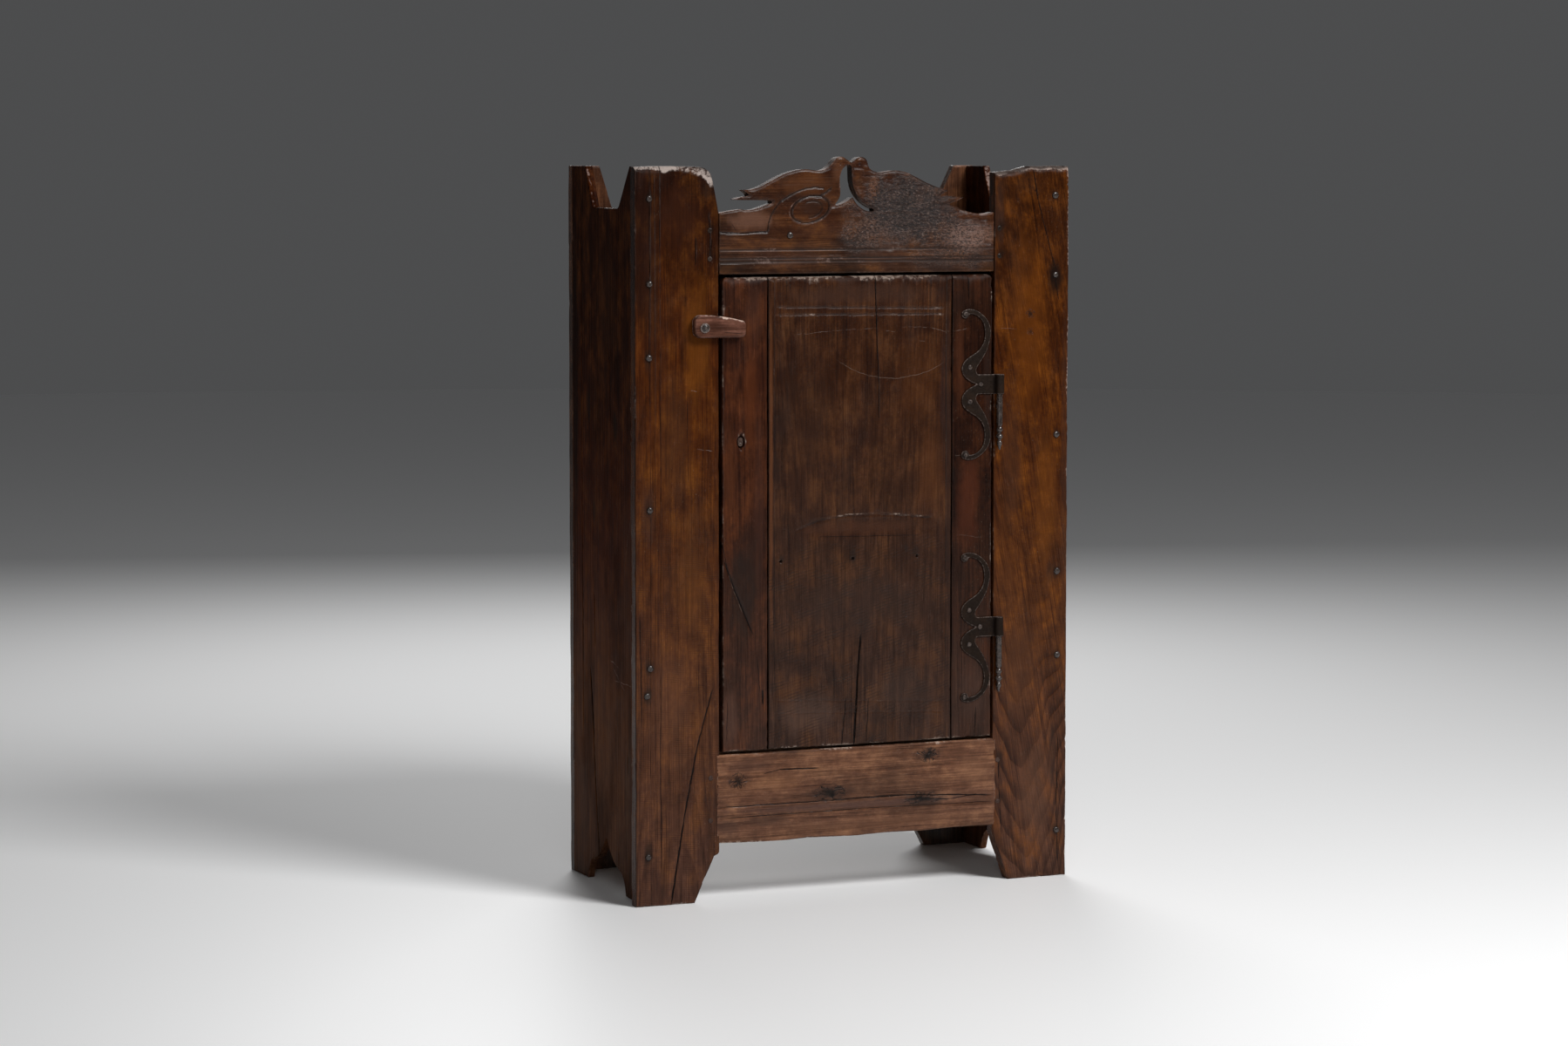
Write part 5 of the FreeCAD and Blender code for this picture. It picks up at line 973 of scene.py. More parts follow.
def inner_board(node, along, thickness, body, slot, material, step=5.0, seed=1):
    """A plain board in the place of its CAD node: along its longest side, with its face on the side named."""
    low, high = [np.array(corner) * 1000 + (387.75, 173.95, 0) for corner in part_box(node)]
    a, t = "XYZ".index(along), "XYZ".index(thickness[1])
    c = 3 - a - t
    outer = low[t] if thickness[0] == "-" else high[t]
    inward = 1 if thickness[0] == "-" else -1

    def place(w, s, deep):
        parts = [None, None, None]
        parts[a], parts[c], parts[t] = s, w, outer + inward * deep
        return spot(*np.broadcast_arrays(*parts))

    made = plank(node + "_plank", stations(low[a], step * 2.2, high[a]), stations(low[c], step, high[c]),
                 high[t] - low[t], place, arris=1.2, end_arris=(0.8, 0.8), chips=0.6, seed=seed)
    return finish_piece(made, material, body, slot, node)


raw = dict(streak=(.22, .125, .068), stain=(.060, .036, .024), pale=(.33, .22, .14), rings=0.55, wear=0.7,
           gloss=(0.55, 0.75), stains=0.25, streaks=0.5)
lying_wood = wood("unwaxed_lying_boards", [(200, (.165, .092, .052)), (1150, (.120, .064, .036))],
                  along="X", pith=(0.4, 0.3, 0), seed=21.0, **raw)
for index, node in enumerate(("top_board", "bottom_board", "lower_shelf", "upper_shelf")):
    inner_board(node, "X", "+Z", "carcass", "inner_wood", lying_wood, seed=81 + index)
back_wood = wood("unwaxed_back_boards", [(200, (.115, .066, .040)), (1100, (.090, .048, .028))],
                 pith=(0.2, 0.5, 0), seed=24.0, **raw)
for index, node in enumerate(("back_board_left", "back_board_middle", "back_board_right")):
    inner_board(node, "Z", "+Y", "carcass", "inner_wood", back_wood, step=3.5, seed=86 + index)
cleat_wood = wood("unwaxed_cleats", [(450, (.150, .080, .044)), (800, (.140, .074, .040))], along="Y",
                  pith=(0.1, 0.7, 0), seed=26.0, **raw)
cleats = ("lower_left_cleat", "upper_left_cleat", "lower_right_cleat", "upper_right_cleat")
for index, node in enumerate(cleats):
    inner_board(node, "Y", "-X" if "right" in node else "+X", "carcass", "inner_wood", cleat_wood,
                step=3.0, seed=90 + index)

# Door boards: Three upright boards laid edge to edge: the lock board polished glossy by hands, a wide
# grey-brown middle board with scratched lines round it, and the reddish hinge board. Their upper edge is
# painted pale as a highlight of the light from above.
pull_x, pull_z = 183.7, 752
lock_cracks = [([(153, 560), (175, 505), (190, 470), (204, 437)], 2.4, 1.8),
               ([(221, 344), (222, 321)], 3.2, 1.6), ([(160, 330), (158, 262)], 1.2, 0.8)]


def lit_upper_edge(W, S):
    """Where the door's upper edge is painted pale: a painted highlight of the light from above."""
    above = S - 1013.3 - 2.2 * drift(W / 9, 0, 104) - 1.2 * drift(W / 3.5, 0, 105)
    return 0.72 * np.clip(above / 2.5, 0, 1)


def lock_face(W, S):
    cut = cracked(uneven(W, S, 101, (38, 180), (8, 90)), W, S, lock_cracks)
    oval = np.hypot((W - pull_x) / 6.25, (S - pull_z) / 9.5)
    cut = cut + 11.0 * np.clip((1.08 - oval) / 0.16, 0, 1) + 0.9 * np.clip(1.5 - oval, 0, 0.5) * 2
    grey = np.clip(1 - np.hypot((W - 190) / 40, (S - 520) / 110), 0, 1)
    rim = np.clip(1 - np.abs(oval - 1.25) / 0.2, 0, 1) * np.clip((W - pull_x + S - pull_z) / 6, 0, 1)
    cut = cut + grey * 0.35 * (1 + drift(W / 5 + S / 22, S / 6, 103))
    return cut, np.maximum(1.2 * rim, lit_upper_edge(W, S)), 0 * W


def in_door(w, s, t):
    return spot(w, t - 0.5, s)


lock_board = plank(
    "lock_board_plank", stations(245, 6, 742, 0.9, 762, 6, 980, 2.5, 1020),
    stations(151.2, 1.7, 176, 0.8, 192, 1.7, 230.7), 22, in_door,
    low=lambda s: np.interp(s, [245, 1012, 1015, 1018, 1020], [151.2, 151.2, 152, 154.5, 158]),
    face=lock_face, keep=(165, 230), keep_along=(300, 960), arris=2.4, end_arris=(2.0, 6.5), chips=1.3,
    joints=(0, 0.95), seed=53)
door_pale = (.22, .165, .135)
lock_wood = wood(
    "lock_board_wood", [(245, (.040, .016, .009)), (420, (.034, .012, .006)), (600, (.029, .0085, .0035)),
                        (850, (.036, .0095, .0035)), (1015, (.026, .009, .005))],
    streak=(.062, .017, .005), leather=0.35, ripple=0.15, stain=(.012, .005, .003), pale=door_pale,
    rings=0.35, ring_width=0.005, pith=(-0.5, 0.1, 0), seed=31.0, specks=0.2, wear=1.0,
    patches=[(190, 520, 32, 100, (.013, .007, .005), 0.95), (200, 830, 14, 110, (.075, .019, .005), 0.5),
             (165, 700, 14, 90, (.07, .02, .006), 0.5), (205, 960, 24, 50, (.045, .017, .010), 0.5),
             (233, 760, 7, 340, (.016, .0055, .003), 0.75), (165, 300, 20, 50, (.085, .042, .028), 0.4),
             (215, 640, 10, 200, (.035, .013, .008), 0.5)],
    cracks=[(153, 560, 175, 505, 1.1), (175, 505, 204, 437, 1.2), (221, 344, 222, 321, 1.8),
            (160, 330, 158, 262, 0.6), (150, 590, 160, 540, 0.7), (212, 400, 216, 340, 0.6)],
    scratches=[(160, 540, 186, 470, 0.4)])
finish_piece(lock_board, lock_wood, "door", "door_wood", "lock_board")

upright_lines = (241.6, 549.7)
level_lines = [([(241, 971), (550, 965)], 1.0), ([(241, 958), (550, 955)], 1.0),
               ([(241, 326), (550, 309)], 0.55), ([(241, 305), (550, 292)], 0.5)]
centre_cracks = [([(421, 1019), (424, 927), (428, 840), (428, 782)], 1.8, 1.2),
                 ([(396, 427), (391, 366), (388, 308), (384, 247)], 3.0, 2.2),
                 ([(370, 324), (362, 247)], 1.6, 1.1), ([(410, 321), (406, 247)], 1.4, 1.0),
                 ([(278, 603), (321, 619), (376, 626), (431, 626), (478, 622), (526, 617)], 2.4, 1.0)]


def centre_face(W, S):
    cut = uneven(W, S, 111, (60, 170), (9, 80))
    pale = 0 * W
    for line in upright_lines:
        off = np.abs(W - line - 0.5 * drift(S / 160, line, 114))
        cut = cut + (0.8 + 0.35 * drift(S / 50, line, 113)) * np.clip(1 - (off / 1.2) ** 2, 0, 1)
        # Pale along the upright scored lines: painted highlights on their lips
        painted_line_highlight = 0.2 * np.clip(1.3 - np.abs(W - line) / 1.3, 0, 1)
        pale = np.maximum(pale, painted_line_highlight * np.clip((S - 420) / 120, 0, 1) * np.clip((962 - S) / 3, 0, 1))
    for path, depth in level_lines:
        cut = cut + score(W, S, path, 2.6, depth)
        # Pale band round each level line: painted highlights on its lips; its deep middle is darkened as
        # painted shade
        pale = np.maximum(pale, score(W, S, path, 3.6, 0.5 if path[0][1] > 900 else 0.3))
    cut = cracked(cut, W, S, centre_cracks)
    # Pale lip just above the long crack: painted highlight
    pale = np.maximum(pale, score(W, S, [(x, z + 1.2) for x, z in centre_cracks[-1][0]], 4.0, 1.0))
    planed = (np.clip((W - 285) / 25, 0, 1) * np.clip((540 - W) / 20, 0, 1) * np.clip((S - 590) / 8, 0, 1)
              * np.clip((622 - S) / 3, 0, 1))
    cut = cut + planed * 0.5
    for across, up in ((254.1, 554), (382.5, 554), (497.7, 554)):
        cut = cut + 6 * np.clip((2.4 - np.hypot(W - across, S - up)) / 1.2, 0, 1)
    low_saw = np.clip((620 - S) / 60, 0, 1)
    cut = cut + low_saw * 0.05 * (1 + np.sin((S - 0.27 * W + 5 * drift(W / 60, S / 40, 115)) * 1.2))
    return cut, np.maximum(pale, lit_upper_edge(W, S)), 0 * W


centre_board = plank(
    "centre_board_plank", stations(245, 4.2, 288, 1.7, 330, 4.2, 545, 1.5, 563, 4.2, 596, 2.4, 630, 6.5,
                                   948, 1.6, 975, 4.5, 1000, 2, 1020),
    stations(231.1, 2.6, 560.2,
             extra=[line + k for line in upright_lines for k in (-1.4, -0.7, 0, 0.7, 1.4)]
             + [254.1, 252.5, 255.7, 382.5, 384, 381, 497.7, 499.2, 496.2]
             + list(np.arange(383.5, 398, 1.1)) + list(np.arange(420, 430, 1.2))),
    22, in_door, face=centre_face, arris=1.6, end_arris=(2.0, 7.0), chips=1.4, joints=(0.95, 0.95),
    seed=63)
centre_wood = wood(
    "centre_board_wood", [(245, (.036, .0165, .0105)), (450, (.032, .0135, .0075)),
                          (650, (.031, .0115, .0055)), (850, (.028, .008, .0022)),
                          (1015, (.026, .008, .003))], streak=(.050, .018, .006),
    stain=(.014, .006, .004), pale=door_pale, rings=0.4, ring_width=0.005, pith=(0.02, 0.10, 0),
    lean=0.02, dip=-0.04, seed=33.0, specks=0.12, wear=1.0, saw=(0.27, 0.0052, 0.85, 570), bump=0.6,
    leather=0.7, ripple=0.12, scratch=0.22, swings=[(455, 1026, 176, 352, 548, 0.7, 0.27)],
    patches=[(400, 604, 125, 13, (.056, .020, .009), 0.6), (520, 690, 30, 90, (.070, .022, .006), 0.45),
             (500, 850, 40, 80, (.052, .016, .004), 0.45), (300, 800, 50, 120, (.020, .008, .004), 0.5),
             (400, 480, 130, 60, (.026, .014, .010), 0.55), (236, 700, 4, 330, (.10, .034, .012), 0.75),
             (554, 700, 7, 330, (.020, .009, .006), 0.7), (400, 990, 150, 22, (.05, .024, .015), 0.45),
             (545, 820, 7, 110, (.020, .010, .008), 0.6), (300, 300, 60, 40, (.078, .046, .034), 0.4),
             (470, 330, 60, 50, (.05, .028, .020), 0.4), (382.5, 560, 7, 14, (.012, .007, .005), 0.8),
             (497, 562, 8, 12, (.012, .007, .005), 0.7), (254, 556, 6, 9, (.012, .007, .005), 0.7),
             (478, 568, 5, 9, (.015, .009, .007), 0.6)],
    cracks=[(421, 1024, 424, 927, 0.9), (424, 927, 428, 840, 0.8), (428, 840, 428, 782, 0.7),
            (396, 427, 391, 366, 1.2), (391, 366, 388, 308, 1.6), (388, 308, 384, 243, 1.8),
            (370, 324, 362, 244, 0.8), (410, 321, 406, 244, 0.8), (321, 592, 500, 589, 0.5),
            (330, 480, 334, 420, 0.4)],
    scratches=[(282, 925, 340, 930, 0.5), (340, 930, 425, 933, 0.45), (440, 930, 462, 926, 0.6),
               (470, 934, 520, 933, 0.6), (520, 933, 556, 925, 0.6), (305, 808, 318, 800, 0.6),
               (500, 912, 512, 909, 0.6)])
finish_piece(centre_board, centre_wood, "door", "door_wood", "centre_board")

hinge_cracks = [([(590, 1016), (591, 975)], 1.4, 1.1), ([(606, 296), (604, 247)], 1.4, 1.1)]


def hinge_face(W, S):
    cut = uneven(W, S, 121, (36, 200), (8, 80))
    return cracked(cut, W, S, hinge_cracks), lit_upper_edge(W, S), 0 * W


hinge_board = plank(
    "hinge_board_plank", stations(245, 6, 980, 2.5, 1020), stations(560.6, 1.7, 634.1), 22, in_door,
    high=lambda s: np.interp(s, [245, 1012, 1015, 1018, 1020], [634.1, 634.1, 633.3, 630.8, 627]),
    keep=(561, 620), face=hinge_face, arris=2.2, end_arris=(2.0, 6.5), chips=1.3, joints=(0.95, 0),
    seed=73)
hinge_wood = wood(
    "hinge_board_wood", [(245, (.040, .018, .011)), (450, (.022, .0085, .0045)),
                         (700, (.0115, .0033, .0014)), (900, (.014, .004, .0015)),
                         (1015, (.022, .008, .004))], streak=(.032, .009, .003), leather=0.35,
    ripple=0.25, stain=(.011, .004, .002), pale=door_pale, rings=0.35, ring_width=0.005,
    pith=(0.5, 0.1, 0), seed=35.0, specks=0.25, wear=1.0,
    patches=[(590, 640, 24, 90, (.07, .018, .007), 0.55), (575, 880, 10, 90, (.06, .019, .008), 0.5),
             (600, 320, 26, 60, (.055, .027, .018), 0.4), (625, 830, 8, 120, (.02, .010, .007), 0.6)],
    cracks=[(590, 1026, 591, 975, 1.0), (606, 296, 604, 243, 0.9), (580, 1022, 581, 990, 0.5)],
    scratches=[(562, 925, 588, 930, 0.6), (566, 719, 600, 722, 0.6), (568, 586, 622, 580, 0.3)],
    scratch=0.3)
finish_piece(hinge_board, hinge_wood, "door", "door_wood", "hinge_board")

# Door battens: Two cross-pieces nailed over the three door boards behind the hinges, plain and unwaxed
# like the inside.
batten_wood = wood("unwaxed_battens", [(400, (.150, .080, .045)), (870, (.140, .074, .042))], along="X",
                   pith=(0.6, 0.3, 0), seed=27.0, **raw)
for index, node in enumerate(("lower_batten", "upper_batten")):
    inner_board(node, "X", "+Y", "door", "inner_wood", batten_wood, step=2.6, seed=95 + index)

# Hinges: Hand-forged strap hinges: two S-shaped arms to each, drawn out of thick iron to eyes at their
# ends, a knuckle that turns on a pin, and a rod below it ending in filed rings and a drop.
metal, g, gives = effect("old_iron", {"Vector": (0, 0, 0), "Wear and highlight": 0.0, "Rust": 0.5, "Bright": 0.6},
                         {"Colour": "Color", "Roughness": "Float", "Height": "Float", "Bare": "Float"})
scale = noise(metal, g["Vector"], 260, 4, 0.6)
pits = noise(metal, g["Vector"], 900, 2, 0.5)
blotch = noise(metal, g["Vector"], 60, 3, 0.6)
rust = times(metal, ease(metal, blotch, 0.42, 0.7), g["Rust"])
colour = tint(metal, rust, (.0085, .005, .0035, 1), (.021, .0095, .0045, 1))
colour = tint(metal, ease(metal, scale, 0.35, 0.75), colour, (.013, .0085, .006, 1))
bare_and_lit = ease(metal, plus(metal, g["Wear and highlight"], ease(metal, scale, 0.35, 0.65, -0.14, 0.14)), 0.35, 0.95)
bare_and_lit = times(metal, bare_and_lit, g["Bright"], clamp=True)
# Pale grey where the iron is handled, and along the hinge arrises also painted edge highlights
colour = tint(metal, bare_and_lit, colour, (.25, .19, .165, 1))
metal.links.new(colour, gives["Colour"])
rough = ease(metal, plus(metal, scale, times(metal, rust, 0.6)), 0.3, 1.2, 0.4, 0.7)
metal.links.new(minus(metal, rough, times(metal, bare_and_lit, 0.12)), gives["Roughness"])
height = plus(metal, times(metal, scale, 0.7), times(metal, pits, 0.3))
metal.links.new(height, gives["Height"])
metal.links.new(times(metal, bare_and_lit, 0.45), gives["Bare"])


def iron(name, rust=0.5, bright=0.6, wear_and_highlight=None, polish=1.0, shine=0.12):
    """Forged iron, black from the fire and browned, grey where handling wears it and where edge highlights
    are
    painted: as much as the given amount says, or else as the mesh's own values do."""
    finish, tree = blank_finish(name)
    vector = put(tree, "ShaderNodeTexCoord", out=3)
    if wear_and_highlight is None:
        wear_and_highlight = put(tree, "ShaderNodeAttribute", out=2, attribute_name="wear_and_highlight")
    feeds = {"Vector": vector, "Wear and highlight": wear_and_highlight, "Rust": rust, "Bright": bright}
    skin = put(tree, "ShaderNodeGroup", feeds, None, node_tree=metal).outputs
    raised = put(tree, "ShaderNodeBump", {"Height": skin["Height"], "Distance": 0.0006, "Strength": 0.6})
    shader = put(tree, "ShaderNodeBsdfPrincipled", {
        "Base Color": skin["Colour"], "Roughness": times(tree, skin["Roughness"], polish),
        "Metallic": skin["Bare"], "Specular IOR Level": shine, "Normal": raised})
    put(tree, "ShaderNodeOutputMaterial", {0: shader}, None)
    return finish


hinge_iron = iron("hinge_iron", 0.5, 0.55, shine=0.06)
pin_iron = iron("pin_iron", 0.5, 0.2, wear_and_highlight=0.6, polish=0.42, shine=0.6)
for level, seed in (("upper", 131), ("lower", 137)):
    strap, points, normals, away = worked_copy(level + "_hinge_strap", level + "_strap", 0.95, soften=2)
    x, z = points[:, 0] * 1000, points[:, 2] * 1000
    before_door, door_edge = (-0.5 - 173.95 - 1.4) / 1000, 634
    flat = (np.clip(np.abs(normals[:, 1]) * 1.5 - 0.5, 0, 1) * (points[:, 1] < before_door)
            * (x + 387.75 < door_edge))
    hammered = (0.22 * (1 + drift(x / 6, z / 6, seed)) + 0.12 * (1 + drift(x / 2.4, z / 2.4, seed + 1))
                + 0.55 * np.exp(-away / 1.0))
    darkening = flat * np.clip(drift(x / 3, z / 3, seed + 2) - 0.5, 0, 1)
    # Strap arrises painted pale: wear, with painted edge highlights
    shaped(strap, pressed(points, normals, flat * hammered), np.exp(-away / 1.5), darkening)
    finish_piece(strap, hinge_iron, "door", "forged_iron", level + "_hinge_strap")
    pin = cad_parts[level + "_hinge_pin"]
    for index in range(len(pin.data.materials)):
        pin.material_slots[index].link = "OBJECT"
        pin.material_slots[index].material = pin_iron

# Nails: Hand-made nails with hammered round heads: large ones through the stiles and the crest rail,
# smaller ones in the hinges, cleats, battens and back. Every head is beaten a little differently.
heads = bpy.data.node_groups.new("hammered_heads", "GeometryNodeTree")
heads.interface.new_socket("Geometry", in_out="INPUT", socket_type="NodeSocketGeometry")
for label, kind, start in (("Head radius", "Float", 0.006), ("Head height", "Float", 0.003),
                           ("Facing", "Vector", (0, 0, 0)), ("Beaten", "Float", 0.25), ("Seed", "Int", 1),
                           ("Iron", "Material", None)):
    socket = heads.interface.new_socket(label, in_out="INPUT", socket_type="NodeSocket" + kind)
    if start is not None:
        socket.default_value = start
heads.interface.new_socket("Geometry", in_out="OUTPUT", socket_type="NodeSocketGeometry")
taken, given = heads.nodes.new("NodeGroupInput").outputs, heads.nodes.new("NodeGroupOutput").inputs
ball = put(heads, "GeometryNodeMeshUVSphere", {"Segments": 12, "Rings": 9, "Radius": 1.0})
where = put(heads, "GeometryNodeInputPosition")
low_spot = put(heads, "ShaderNodeSeparateXYZ", {0: where}, None)
capped = put(heads, "ShaderNodeMath", {0: low_spot.outputs[2], 1: 0.78}, operation="MINIMUM")
capped = put(heads, "ShaderNodeMath", {0: capped, 1: 1.25}, operation="MULTIPLY")
flattened = put(heads, "ShaderNodeCombineXYZ", {0: low_spot.outputs[0], 1: low_spot.outputs[1], 2: capped})
ball = put(heads, "GeometryNodeSetPosition", {"Geometry": ball, "Position": flattened})
size = put(heads, "ShaderNodeCombineXYZ",
           {0: taken["Head radius"], 1: taken["Head radius"], 2: taken["Head height"]})
varied = put(heads, "FunctionNodeRandomValue",
             {0: (0.86, 0.86, 0.82), 1: (1.0, 1.0, 1.0), "Seed": taken["Seed"]}, data_type="FLOAT_VECTOR")
size = put(heads, "ShaderNodeVectorMath", {0: size, 1: varied}, operation="MULTIPLY")
placed = put(heads, "GeometryNodeInstanceOnPoints",
             {"Points": taken["Geometry"], "Instance": ball, "Rotation": taken["Facing"], "Scale": size})
spin = put(heads, "FunctionNodeRandomValue", {2: 0.0, 3: 6.28, "Seed": taken["Seed"]}, 1, data_type="FLOAT")
spin = put(heads, "ShaderNodeCombineXYZ", {0: 0.0, 1: 0.0, 2: spin})
placed = put(heads, "GeometryNodeRotateInstances",
             {"Instances": placed, "Rotation": spin, "Local Space": True})
solid = put(heads, "GeometryNodeRealizeInstances", {"Geometry": placed})
blows = put(heads, "ShaderNodeTexNoise",
            {"Vector": put(heads, "GeometryNodeInputPosition"), "Scale": 260.0, "Detail": 1.0}, 1)
blows = put(heads, "ShaderNodeVectorMath", {0: blows, 1: (0.5, 0.5, 0.5)}, operation="SUBTRACT")
amount = put(heads, "ShaderNodeMath", {0: taken["Head height"], 1: taken["Beaten"]}, operation="MULTIPLY")
blows = put(heads, "ShaderNodeVectorMath", {0: blows, "Scale": amount}, operation="SCALE")
solid = put(heads, "GeometryNodeSetPosition", {"Geometry": solid, "Offset": blows})
solid = put(heads, "GeometryNodeSetMaterial", {"Geometry": solid, "Material": taken["Iron"]})
heads.links.new(solid, given["Geometry"])


def islands(node):
    """The boxes, in metres, of the separate solids that one CAD node holds."""
    shape = bmesh.new()
    shape.from_mesh(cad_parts[node].data)
    bmesh.ops.remove_doubles(shape, verts=shape.verts, dist=1e-6)
    left, boxes = set(shape.verts), []
    while left:
        wave = [left.pop()]
        group = list(wave)
        while wave:
            near = {edge.other_vert(vert) for vert in wave for edge in vert.link_edges}
            wave = list(near & left)
            left -= near
            group += wave
        corners = np.array([vert.co for vert in group])
        boxes.append((corners.min(0), corners.max(0)))
    shape.free()
    return sorted(boxes, key=lambda box: tuple(box[0]))


def set_heads(name, node, toward, proud, radius, body, slot, material, seed, beaten=0.5):
    """Nail or peg heads made by Geometry Nodes where a CAD node's solids have theirs."""
    axis, sign = "XYZ".index(toward[1]), 1 if toward[0] == "+" else -1
    sunk = 0.15
    places = []
    for low, high in islands(node):
        place = (low + high) / 2
        place[axis] = (high if sign > 0 else low)[axis] - sign * (proud + sunk) / 1000
        places.append(place)
    mesh = bpy.data.meshes.new(name + "_places")
    mesh.from_pydata([tuple(place) for place in places], [], [])
    holder = stand(name + "_places", mesh)
    modifier = holder.modifiers.new("heads", "NODES")
    modifier.node_group = heads
    named = {item.name: item.identifier for item in heads.interface.items_tree if item.in_out == "INPUT"}
    quarter = math.pi / 2
    facing = {"-Y": (quarter, 0, 0), "+Y": (-quarter, 0, 0), "+X": (0, quarter, 0),
              "-X": (0, -quarter, 0)}[toward]
    for label, value in (("Head radius", radius / 1000), ("Head height", proud / 1000), ("Facing", facing),
                         ("Beaten", beaten), ("Seed", seed), ("Iron", material)):
        modifier[named[label]] = value
    made = bpy.data.meshes.new_from_object(holder.evaluated_get(bpy.context.evaluated_depsgraph_get()))
    bpy.data.objects.remove(holder)
    made.shade_smooth()
    return finish_piece(stand(name, made), material, body, slot, node)


nail_iron = iron("nail_iron", 0.35, 0.16, wear_and_highlight=0.6, polish=0.5, shine=0.5)
rivet_iron = iron("rivet_iron", 0.4, 0.38, wear_and_highlight=0.6, polish=0.75, shine=0.2)
for seed, (node, toward, proud, radius, body) in enumerate((
    ("left_stile_nails", "-Y", 3.0, 6, "carcass"), ("right_stile_nails", "-Y", 3.0, 6, "carcass"),
    ("crest_rail_nail", "-Y", 3.0, 6, "carcass"), ("back_stile_nails", "+Y", 2.2, 5, "carcass"),
    ("back_board_nails", "+Y", 2.2, 5, "carcass"), ("left_cleat_nails", "+X", 1.2, 3.6, "carcass"),
    ("right_cleat_nails", "-X", 1.2, 3.6, "carcass"), ("upper_batten_nails", "+Y", 1.2, 4.6, "door"),
    ("lower_batten_nails", "+Y", 1.2, 4.6, "door"), ("upper_hinge_nails", "-Y", 2.2, 4.6, "door"),
    ("lower_hinge_nails", "-Y", 2.2, 4.6, "door"))):
    set_heads(node + "_heads", node, toward, proud, radius, body, "forged_iron",
              rivet_iron if "hinge" in node else nail_iron, seed + 3)

# Wooden pegs: Whittled pegs through the rails' tenons, driven in from the front and pared off nearly
# flush, and the broken stub of the pull that once stood in the lock board's oval hole.
peg_wood = wood("peg_wood",
                [(100, (.060, .034, .026)), (900, (.050, .029, .022)), (1000, (.016, .010, .007))],
                streak=(.045, .030, .024), stain=(.010, .006, .005), along="Y", rings=0.4,
                ring_width=0.002, pith=(0, 0.9, 0), seed=41.0, wear=0.5)
for seed, node in enumerate(("crest_rail_pegs", "bottom_rail_pegs")):
    set_heads(node + "_whittled", node, "-Y", 0.8, 4.6, "carcass", "peg_wood", peg_wood, seed + 31)
stub, points, normals, away = worked_copy("pull_peg_stub", "broken_pull_stub", 0.45, soften=2)
x, z = points[:, 0] * 1000, points[:, 2] * 1000
frayed = np.clip(-normals[:, 1], 0, 1) * (0.6 + 0.6 * drift(x / 1.5, z / 1.8, 142))
shaped(stub, pressed(points, normals, frayed), np.exp(-away / 0.8), np.zeros(len(points)))
finish_piece(stub, peg_wood, "door", "peg_wood", "pull_peg_stub")

# Turn button: A whittled wooden button that turns on one large nail in the left stile and holds the door
# shut, broad and chamfered at the nail and pared thin to its tip. Its arrises are pale from wear, and its
# upper edge and upward faces are painted pale as a highlight of the light from above.
button, points, normals, away = worked_copy("turn_button", "whittled_button", 0.9, soften=3)
x, _, z = measured(points)
outside = np.clip(-normals[:, 1] * 1.5, 0, 1)
pared = 0.35 * (1 + drift(x / 16, z / 11, 151)) + 0.8 * np.clip(1 - away / 4, 0, 1) ** 1.6
points = pressed(points, normals, pared * np.maximum(outside, 0.35))
# The broad end's two corners are drawn in from the solid's radius to a rounder one
end_round, old_round = 12.5, 6.5
shift = end_round - old_round
end_x = x.min() + end_round
for side, middle in ((1, z[x < end_x].max() - end_round), (-1, z[x < end_x].min() + end_round)):
    across, _, up = measured(points)
    level, climb = across - end_x, (up - middle) * side
    far = np.maximum(np.hypot(level, climb), 0.001)
    along = (np.abs(level) + np.abs(climb)) / far * shift
    on_corner = along + np.sqrt(np.maximum(along ** 2 - 2 * shift ** 2 + old_round ** 2, 0))
    in_corner = np.minimum(np.abs(level), np.abs(climb)) / far * on_corner > shift
    longer = np.maximum(np.maximum(np.abs(level), np.abs(climb)), 0.001)
    reach = np.where(in_corner, on_corner, end_round * far / longer)
    inwards = np.where((level < 0) & (climb > 0), end_round / reach, 1)
    points[:, 0] = (level * inwards + end_x - 387.75) / 1000
    points[:, 2] = (climb * inwards * side + middle) / 1000
# Arrises pale from wear, more along the upper edge, and upward faces painted pale: painted highlight of the
# light from above
upper = np.clip((z - 941) / 8, 0, 1) + 0.5 * np.clip((110 - x) / 8, 0, 1)
edge_wear_and_highlight = np.clip(1.6 - away / 3.4, 0, 1.5) * (0.4 + 1.0 * np.clip(upper, 0, 1))
wear_and_highlight = np.maximum(edge_wear_and_highlight, np.clip(normals[:, 2] * 1.2, 0, 1))
shaped(button, points, wear_and_highlight, np.zeros(len(points)))
button_wood = wood(
    "button_wood", [(915, (.066, .026, .016)), (960, (.095, .038, .024))], streak=(.13, .056, .038),
    stain=(.04, .018, .012), pale=(.46, .33, .27), along="X", rings=0.2, ripple=0.1, ring_width=0.005,
    pith=(0.9, 0.0, 0), seed=45.0, wear=1.0, specks=0.2,
    cracks=[(148, 932, 180, 929, 0.5), (92, 930, 100, 926, 0.5)])
finish_piece(button, button_wood, "turn_button", "button_wood", "turn_button")
pivot, points, normals, away = worked_copy("turn_button_nail", "turn_button_pivot", 0.5, soften=2)
x, z = points[:, 0] * 1000, points[:, 2] * 1000
blow = (np.clip(-normals[:, 1], 0, 1)
        * (0.25 * (1 + drift(x / 2.6, z / 2.6, 155)) + 0.1 * (1 + drift(x, z, 156))))
# The nail head pale all over, palest at its rim: wear, with a painted highlight
wear_and_highlight = 0.45 + 0.5 * np.exp(-away / 1.2)
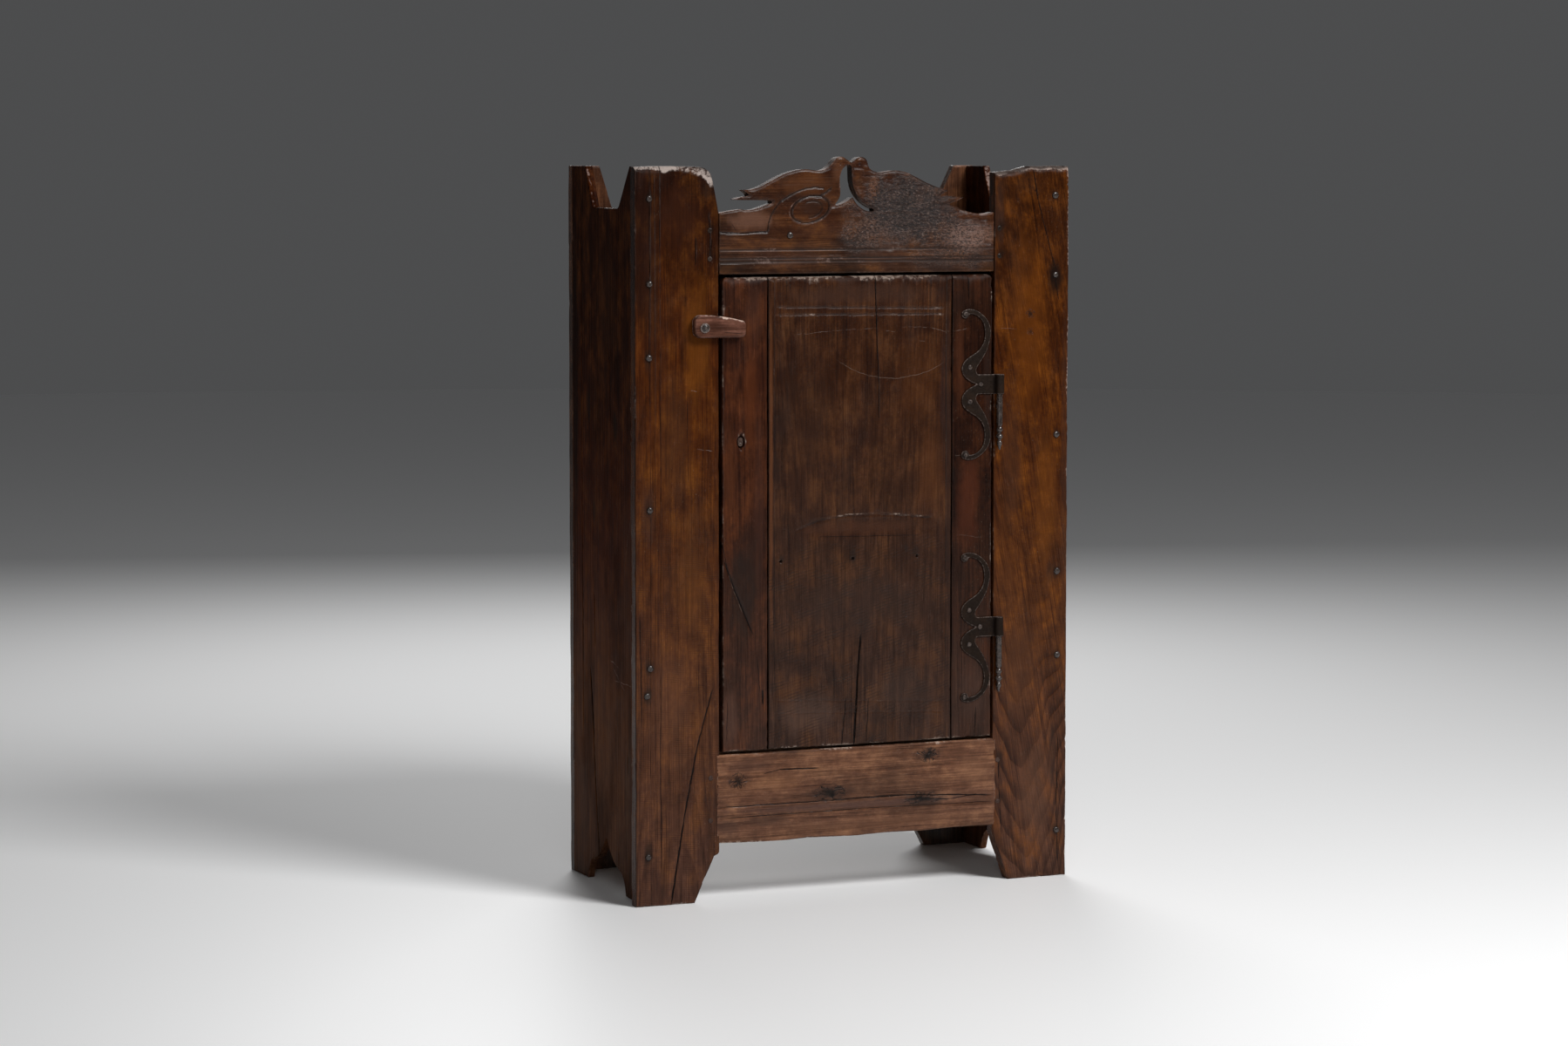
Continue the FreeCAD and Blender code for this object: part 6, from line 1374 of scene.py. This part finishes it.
shaped(pivot, pressed(points, normals, blow), wear_and_highlight, np.zeros(len(points)))
pivot_iron = iron("button_nail_iron", 0.15, 0.75, polish=0.7, shine=0.4)
finish_piece(pivot, pivot_iron, "carcass", "forged_iron", "turn_button_nail")

# Floor, light and camera: A plain white floor, a broad soft lamp above and to the right of the front,
# weak light from all round, and a level camera at the photograph's place.


def stage_finish(name, colour, rough):
    finish = bpy.data.materials.new(name)
    finish.use_nodes = True
    shader = finish.node_tree.nodes["Principled BSDF"]
    shader.inputs["Base Color"].default_value = (*colour, 1)
    shader.inputs["Roughness"].default_value = rough
    shader.inputs["Specular IOR Level"].default_value = 0.25
    return finish


bpy.ops.mesh.primitive_circle_add(vertices=96, radius=14, fill_type="NGON", location=(0, 0, -0.0004))
floor = bpy.context.object
floor.name = "floor"
floor.data.materials.append(stage_finish("white_floor", (.93, .93, .93), 0.4))

scene = bpy.context.scene
scene.world = bpy.data.worlds.new("room_light")
scene.world.use_nodes = True
scene.world.node_tree.nodes["Background"].inputs[0].default_value = (0.97, 0.98, 1.0, 1)
scene.world.node_tree.nodes["Background"].inputs[1].default_value = 0.075


def lamp(name, place, aim, size, power):
    light = bpy.data.lights.new(name, "AREA")
    light.shape, light.size, light.energy = "DISK", size, power
    holder = stand(name, light)
    holder.location = place
    holder.rotation_euler = (Vector(aim) - Vector(place)).to_track_quat("-Z", "Y").to_euler()


lamp("broad_lamp", (1.3, -2.9, 3.3), (0, -0.1, 0.6), 1.6, 180)
lamp("front_lamp", (-1.6, -3.9, 1.5), (0, 0, 0.6), 1.6, 26)
lamp("back_lamp", (0.9, 3.4, 2.9), (0, 0, 0.5), 2.0, 75)

camera = stand("camera", bpy.data.cameras.new("camera"))
camera.location = (-2.54735, -6.06715, 1.2149)
looks_down, looks_right = 4.212, 22.315
camera.rotation_euler = (math.radians(90 - looks_down), 0, math.radians(-looks_right))
camera.data.lens, camera.data.sensor_width, camera.data.shift_y = 89.81, 36, -0.05
scene.camera = camera
scene.view_settings.view_transform = "Standard"
